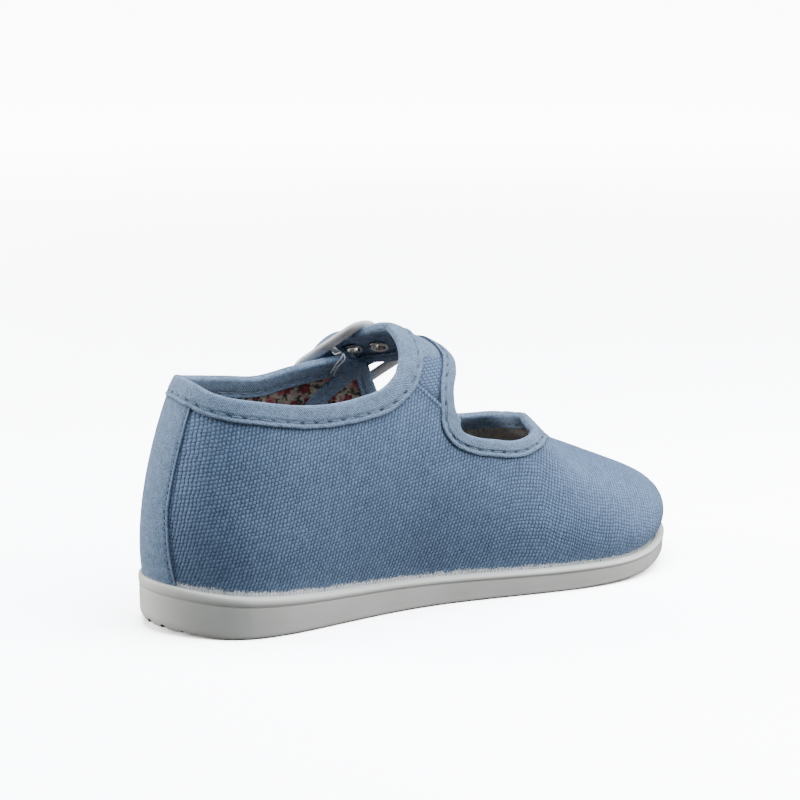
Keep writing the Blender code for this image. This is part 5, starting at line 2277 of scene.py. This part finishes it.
@dataclass
class Buckle:
    """White bow with a centre bar, a pin that turns on it, and the tape that holds it."""

    long: float = 26.0
    wide: float = 24.5
    bar: float = 2.2
    corner: float = 4.0
    flat: float = 1.45
    narrow: float = 0.9
    arch: float = 1.5
    centre: Point = (72.22, 20.72, 60.32)
    down: Point = (-0.556, 0.604, -0.575)
    out: Point = (0.185, 0.765, 0.626)
    centre_bar: float = 0.75
    bar_drop: float = 1.1
    bar_clear: float = 0.25
    pin_middle: float = -0.8
    pin_half_wide: float = 0.65
    pin_half_thick: float = 0.35
    tab_middle: float = -1.0
    tab_half_wide: float = 3.0
    tab_half_thick: float = 0.3
    tab_slot: float = 1.2
    slot_end: float = 5.0
    pin_path: tuple[Pair, ...] = ((-1.55, 0.2), (-1.95, 1.1), (-2.25, 2.1), (-2.7, 3.1), (-4.0, 3.5),
                                   (-6.0, 3.3), (-9.0, 2.6), (-12.3, 1.95), (-13.1, 1.75))
    tab_path: tuple[Pair, ...] = ((2.4, -1.5), (4.4, -2.8), (8.0, -4.7), (11.8, -6.4), (14.0, -7.5))
    bow_sides: int = 20
    pin_sides: int = 14
    thread_sides: int = 6
    corner_steps: int = 13
    bar_past: float = 0.2
    tab_start: float = 0.6
    pin_curl: Pair = (-110, 125)
    tab_curl: Pair = (270, 45)
    pin_tip: float = 0.45
    pin_taper: float = 0.11
    thread: float = 0.16
    loose_ends: tuple[tuple[Point, ...], ...] = (
        ((66.6, 13.6, 62.9), (65.7, 12.9, 62.0), (64.6, 13.9, 60.1), (63.6, 15.4, 57.4)),
        ((66.8, 13.6, 62.8), (66.6, 12.8, 61.4), (65.3, 14.4, 59.2), (64.9, 16.1, 56.6)),
        ((66.2, 13.7, 63.0), (65.0, 12.8, 63.4), (63.9, 13.2, 63.0), (63.2, 13.4, 63.6)),
    )

    def points(self, places: np.ndarray) -> np.ndarray:
        """Points given as (forward, down, out) from the middle of the buckle.

        Args:
            places: Rows of (forward, down, out), in millimetres.

        Returns:
            The points in the shoe's space.
        """
        down = unit(np.array(self.down))
        out = np.array(self.out) - down * (np.array(self.out) @ down)
        out = unit(out)
        return np.array(self.centre) + np.asarray(places) @ np.array([np.cross(down, out), down, out])

    def bow(self, stock: Stock) -> None:
        """Builds and places the bow and its centre bar.

        Args:
            stock: The finishes.
        """
        half_wide = (self.wide - self.bar) / 2 - self.narrow
        half_long = (self.long - self.bar) / 2
        sides = round_angles(self.bow_sides)
        rings = []
        for number, (sx, sy) in enumerate(((1, 1), (-1, 1), (-1, -1), (1, -1))):
            for angle in np.radians(np.linspace(90 * number, 90 * number + 90, self.corner_steps)):
                spoke = np.array([math.cos(angle), math.sin(angle)])
                middle = np.array([sx * (half_wide - self.corner), sy * (half_long - self.corner)])
                middle = middle + self.corner * spoke
                reach = self.flat * self.bar / 2 * np.cos(sides)[:, None] * spoke
                drop = self.arch * (middle[0] / half_wide) ** 2
                rings.append(np.column_stack([middle + reach, self.bar / 2 * np.sin(sides) - drop]))
        skin = Skin()
        skin.grid(self.points(np.array(rings)), closed=True, ring=True)
        ends = half_wide + self.bar_past
        line = rounded(((-ends, -self.arch), (-ends / 2, -self.bar_drop), (0.0, -self.bar_drop),
                        (ends / 2, -self.bar_drop), (ends, -self.arch)), 4)
        rod = [np.column_stack([np.full(len(sides), x), self.centre_bar * np.cos(sides),
                                n + self.centre_bar * np.sin(sides)]) for x, n in line]
        tube(skin, self.points(np.array(rod)))
        place_piece(skin.made("buckle_bow", stock.enamel), Slot.BUCKLE, "buckle_frame")

    def round_the_bar(self, start: float, end: float, reach: float,
                      steps: int) -> list[tuple[float, float]]:
        """Part of a turn round the centre bar, in degrees from straight down the strap."""
        angles = np.radians(np.linspace(start, end, steps))
        return [(reach * math.cos(a), reach * math.sin(a) - self.bar_drop) for a in angles]

    def pin(self, stock: Stock) -> None:
        """Builds and places the pin, which rises through an eyelet and lies on the bow.

        Args:
            stock: The finishes.
        """
        reach = self.centre_bar + self.bar_clear + self.pin_half_thick
        path = self.round_the_bar(*self.pin_curl, reach, 9)
        path = rounded([*path, *self.pin_path], 3)
        run = unit(np.gradient(path, axis=0))
        angles = round_angles(self.pin_sides)
        rings = []
        for number, ((down, out), (along_down, along_out)) in enumerate(zip(path, run)):
            left = len(path) - 1 - number
            taper = min(1.0, self.pin_tip + self.pin_taper * left)
            across = self.pin_half_wide * taper * np.cos(angles)
            thick = self.pin_half_thick * np.sin(angles)
            rings.append(np.column_stack([self.pin_middle + across, down - along_out * thick,
                                          out + along_down * thick]))
        skin = Skin()
        tube(skin, self.points(np.array(rings)))
        place_piece(skin.made("buckle_pin", stock.enamel), Slot.BUCKLE, "buckle_prong")

    def tab(self, stock: Stock) -> None:
        """Builds and places the tape round the centre bar, slotted for the pin.

        Args:
            stock: The finishes.
        """
        reach = self.centre_bar + self.bar_clear + self.tab_half_thick
        path = [(self.tab_start, -self.bar_drop - reach)] + self.round_the_bar(*self.tab_curl, reach, 10)
        path = rounded([*path, *self.tab_path], 4)
        run = unit(np.gradient(path, axis=0))
        skin = Skin()
        low, high = self.tab_middle - self.tab_half_wide, self.tab_middle + self.tab_half_wide
        left, right = self.pin_middle - self.tab_slot, self.pin_middle + self.tab_slot
        whole, beyond = path[:, 0] > -np.inf, path[:, 0] >= self.slot_end
        for start, end, rows in ((low, left, whole), (right, high, whole), (left, right, beyond)):
            line, way = path[rows], run[rows]
            width = np.linspace(start, end, 6)
            loop = [(x, 1.0) for x in width] + [(x, -1.0) for x in width[::-1]]
            rings = [[(x, down - along_out * side * self.tab_half_thick,
                       out + along_down * side * self.tab_half_thick) for x, side in loop]
                     for (down, out), (along_down, along_out) in zip(line, way)]
            tube(skin, self.points(np.array(rings)))
        place_piece(skin.made("buckle_tab", stock.strap), Slot.STRAP, "buckle_loop")

    def thread_ends(self, stock: Stock) -> None:
        """Builds and places the loose white ends of the thread that closes the tape.

        Args:
            stock: The finishes.
        """
        skin = Skin()
        angles = round_angles(self.thread_sides)
        for knots in self.loose_ends:
            path = rounded(np.array(knots), 6)
            run = unit(np.gradient(path, axis=0))
            side = unit(np.cross(run, (0.0, 0.0, 1.0)))
            up = np.cross(side, run)
            cos, sin = np.cos(angles)[None, :, None], np.sin(angles)[None, :, None]
            tube(skin, path[:, None] + self.thread * (cos * side[:, None] + sin * up[:, None]))
        place_piece(skin.made("thread_ends", stock.white_thread), Slot.STRAP)

    def dress(self, stock: Stock) -> None:
        """Builds and places the whole buckle.

        Args:
            stock: The finishes.
        """
        self.bow(stock)
        self.pin(stock)
        self.tab(stock)
        self.thread_ends(stock)


@dataclass(frozen=True)
class SoftLight:
    """A square light: where it hangs and what it points at in metres, its side and its watts."""

    name: str
    place: Point
    aim: Point
    size: float
    power: float
    colour: Point = (1.0, 1.0, 1.0)


@dataclass
class Studio:
    """Pale floor, soft light and the camera at the photo's angle to the shoe."""

    eye: Point = (-0.29808, -0.49789, 0.17550)
    aim: Point = (-0.00288, -0.00069, 0.05150)
    lens: float = 99.0
    sensor: float = 36.0
    floor_size: float = 60.0
    floor_seen: float = 4.6
    floor_bounce: float = 0.16
    far_glow: float = 11.0
    surround_light: float = 0.12
    glow_from: float = 0.2
    glow_full: float = 1.5
    lights: tuple[SoftLight, ...] = (
        SoftLight("overhead", (0.1, -0.06, 0.95), (0, 0, 0.03), 0.9, 20.0, (0.95, 1.0, 1.1)),
        SoftLight("heel_side", (-0.8, 0.68, 0.25), (-0.05, 0, 0.02), 0.6, 17.0),
        SoftLight("near_side", (0.28, -0.25, 0.29), (0.04, 0, 0.04), 0.3, 1.85),
    )

    def floor(self) -> None:
        """Adds the plain pale floor."""
        mesh = bpy.data.meshes.new("floor")
        half = self.floor_size / 2
        corners = [(x * half, y * half, 0) for x, y in ((-1, -1), (1, -1), (1, 1), (-1, 1))]
        mesh.from_pydata(corners, [], [(0, 1, 2, 3)])
        finish = Finish("pale_floor", 0.9)
        finish.colour(tint(*(self.floor_bounce,) * 3))
        wire = finish.wire
        seen = wire.node("ShaderNodeLightPath").outputs["Is Camera Ray"]
        near = wire.node("ShaderNodeBsdfDiffuse", {"Color": tint(*(self.floor_seen,) * 3)})
        place = wire.node("ShaderNodeTexCoord").outputs["Object"]
        away = wire.node("ShaderNodeVectorMath", {0: place}, operation="LENGTH").outputs["Value"]
        glow = wire.rise(away, self.glow_from, self.glow_full, 0.0, self.far_glow)
        glow = wire.node("ShaderNodeEmission", {"Strength": glow})
        pale = wire.node("ShaderNodeAddShader", {0: near.outputs[0], 1: glow.outputs[0]})
        both = wire.node("ShaderNodeMixShader", {0: seen, 1: finish.shader.outputs[0], 2: pale.outputs[0]})
        wire.feed(finish.material.node_tree.nodes["Material Output"].inputs["Surface"], both.outputs[0])
        mesh.materials.append(finish.material)
        plane = added("floor", mesh)

    def hang(self, made: bpy.types.Object, place: Point, aim: Point) -> None:
        """Puts a light or a camera at a place and points it at its aim."""
        made.location = place
        made.rotation_euler = (Vector(aim) - Vector(place)).to_track_quat("-Z", "Y").to_euler()

    def light(self, given: SoftLight) -> None:
        """Adds one soft square light.

        Args:
            given: The light.
        """
        lamp = bpy.data.lights.new(given.name, "AREA")
        lamp.color = given.colour
        lamp.size = given.size
        lamp.energy = given.power
        self.hang(added(given.name, lamp), given.place, given.aim)

    def camera(self) -> None:
        """Adds the camera."""
        data = bpy.data.cameras.new("camera")
        data.lens = self.lens
        data.sensor_width = self.sensor
        made = added("camera", data)
        self.hang(made, self.eye, self.aim)
        bpy.context.scene.camera = made

    def dress(self) -> None:
        """Sets up floor, lights, surroundings and camera."""
        self.floor()
        world = bpy.data.worlds.new("studio")
        world.use_nodes = True
        surround = world.node_tree.nodes["Background"]
        surround.inputs["Color"].default_value = tint(1.0, 1.0, 1.0)
        wire = Wiring(world.node_tree)
        seen = wire.node("ShaderNodeLightPath").outputs["Is Camera Ray"]
        strength = wire.node("ShaderNodeMath", {0: seen, 1: self.far_glow, 2: self.surround_light},
                             operation="MULTIPLY_ADD")
        wire.feed(surround.inputs["Strength"], strength.outputs[0])
        bpy.context.scene.world = world
        for light in self.lights:
            self.light(light)
        self.camera()


def main() -> None:
    """Builds every part of the shoe in order, then the studio."""
    logging.basicConfig(level=logging.INFO, format="%(name)s %(message)s")
    stock = Stock()
    stitching = Stitching()
    tree = stitching.tree()
    Sole().dress(stock)
    Insole().dress(stock)
    Upper().dress(stock)
    HeelTape().dress(stock, tree)
    collar = Binding("collar")
    edge = collar.places(COLLAR, collar.edge_steps)
    rear = collar.places(STRAP_REAR, collar.strap_steps)
    path = np.concatenate([edge[:-1], rear])
    legs = np.interp(np.arange(len(path)) / collar.fine - COLLAR_END, *zip(*COLLAR_LEGS))
    collar.dress(path, legs, stock, stitching, tree)
    throat = Binding("throat", bunch=THROAT_BUNCH)
    front = throat.places(STRAP_FRONT, throat.strap_steps)[::-1]
    edge = throat.places(THROAT, throat.edge_steps)
    path = np.concatenate([front[:-1], edge])
    throat.dress(path, np.full(len(path), THROAT_LEG), stock, stitching, tree)
    strap = Strap()
    strap.dress(stock)
    Eyelets().dress(strap, stock)
    Buckle().dress(stock)
    Studio().dress()


if __name__ == "__main__":
    main()
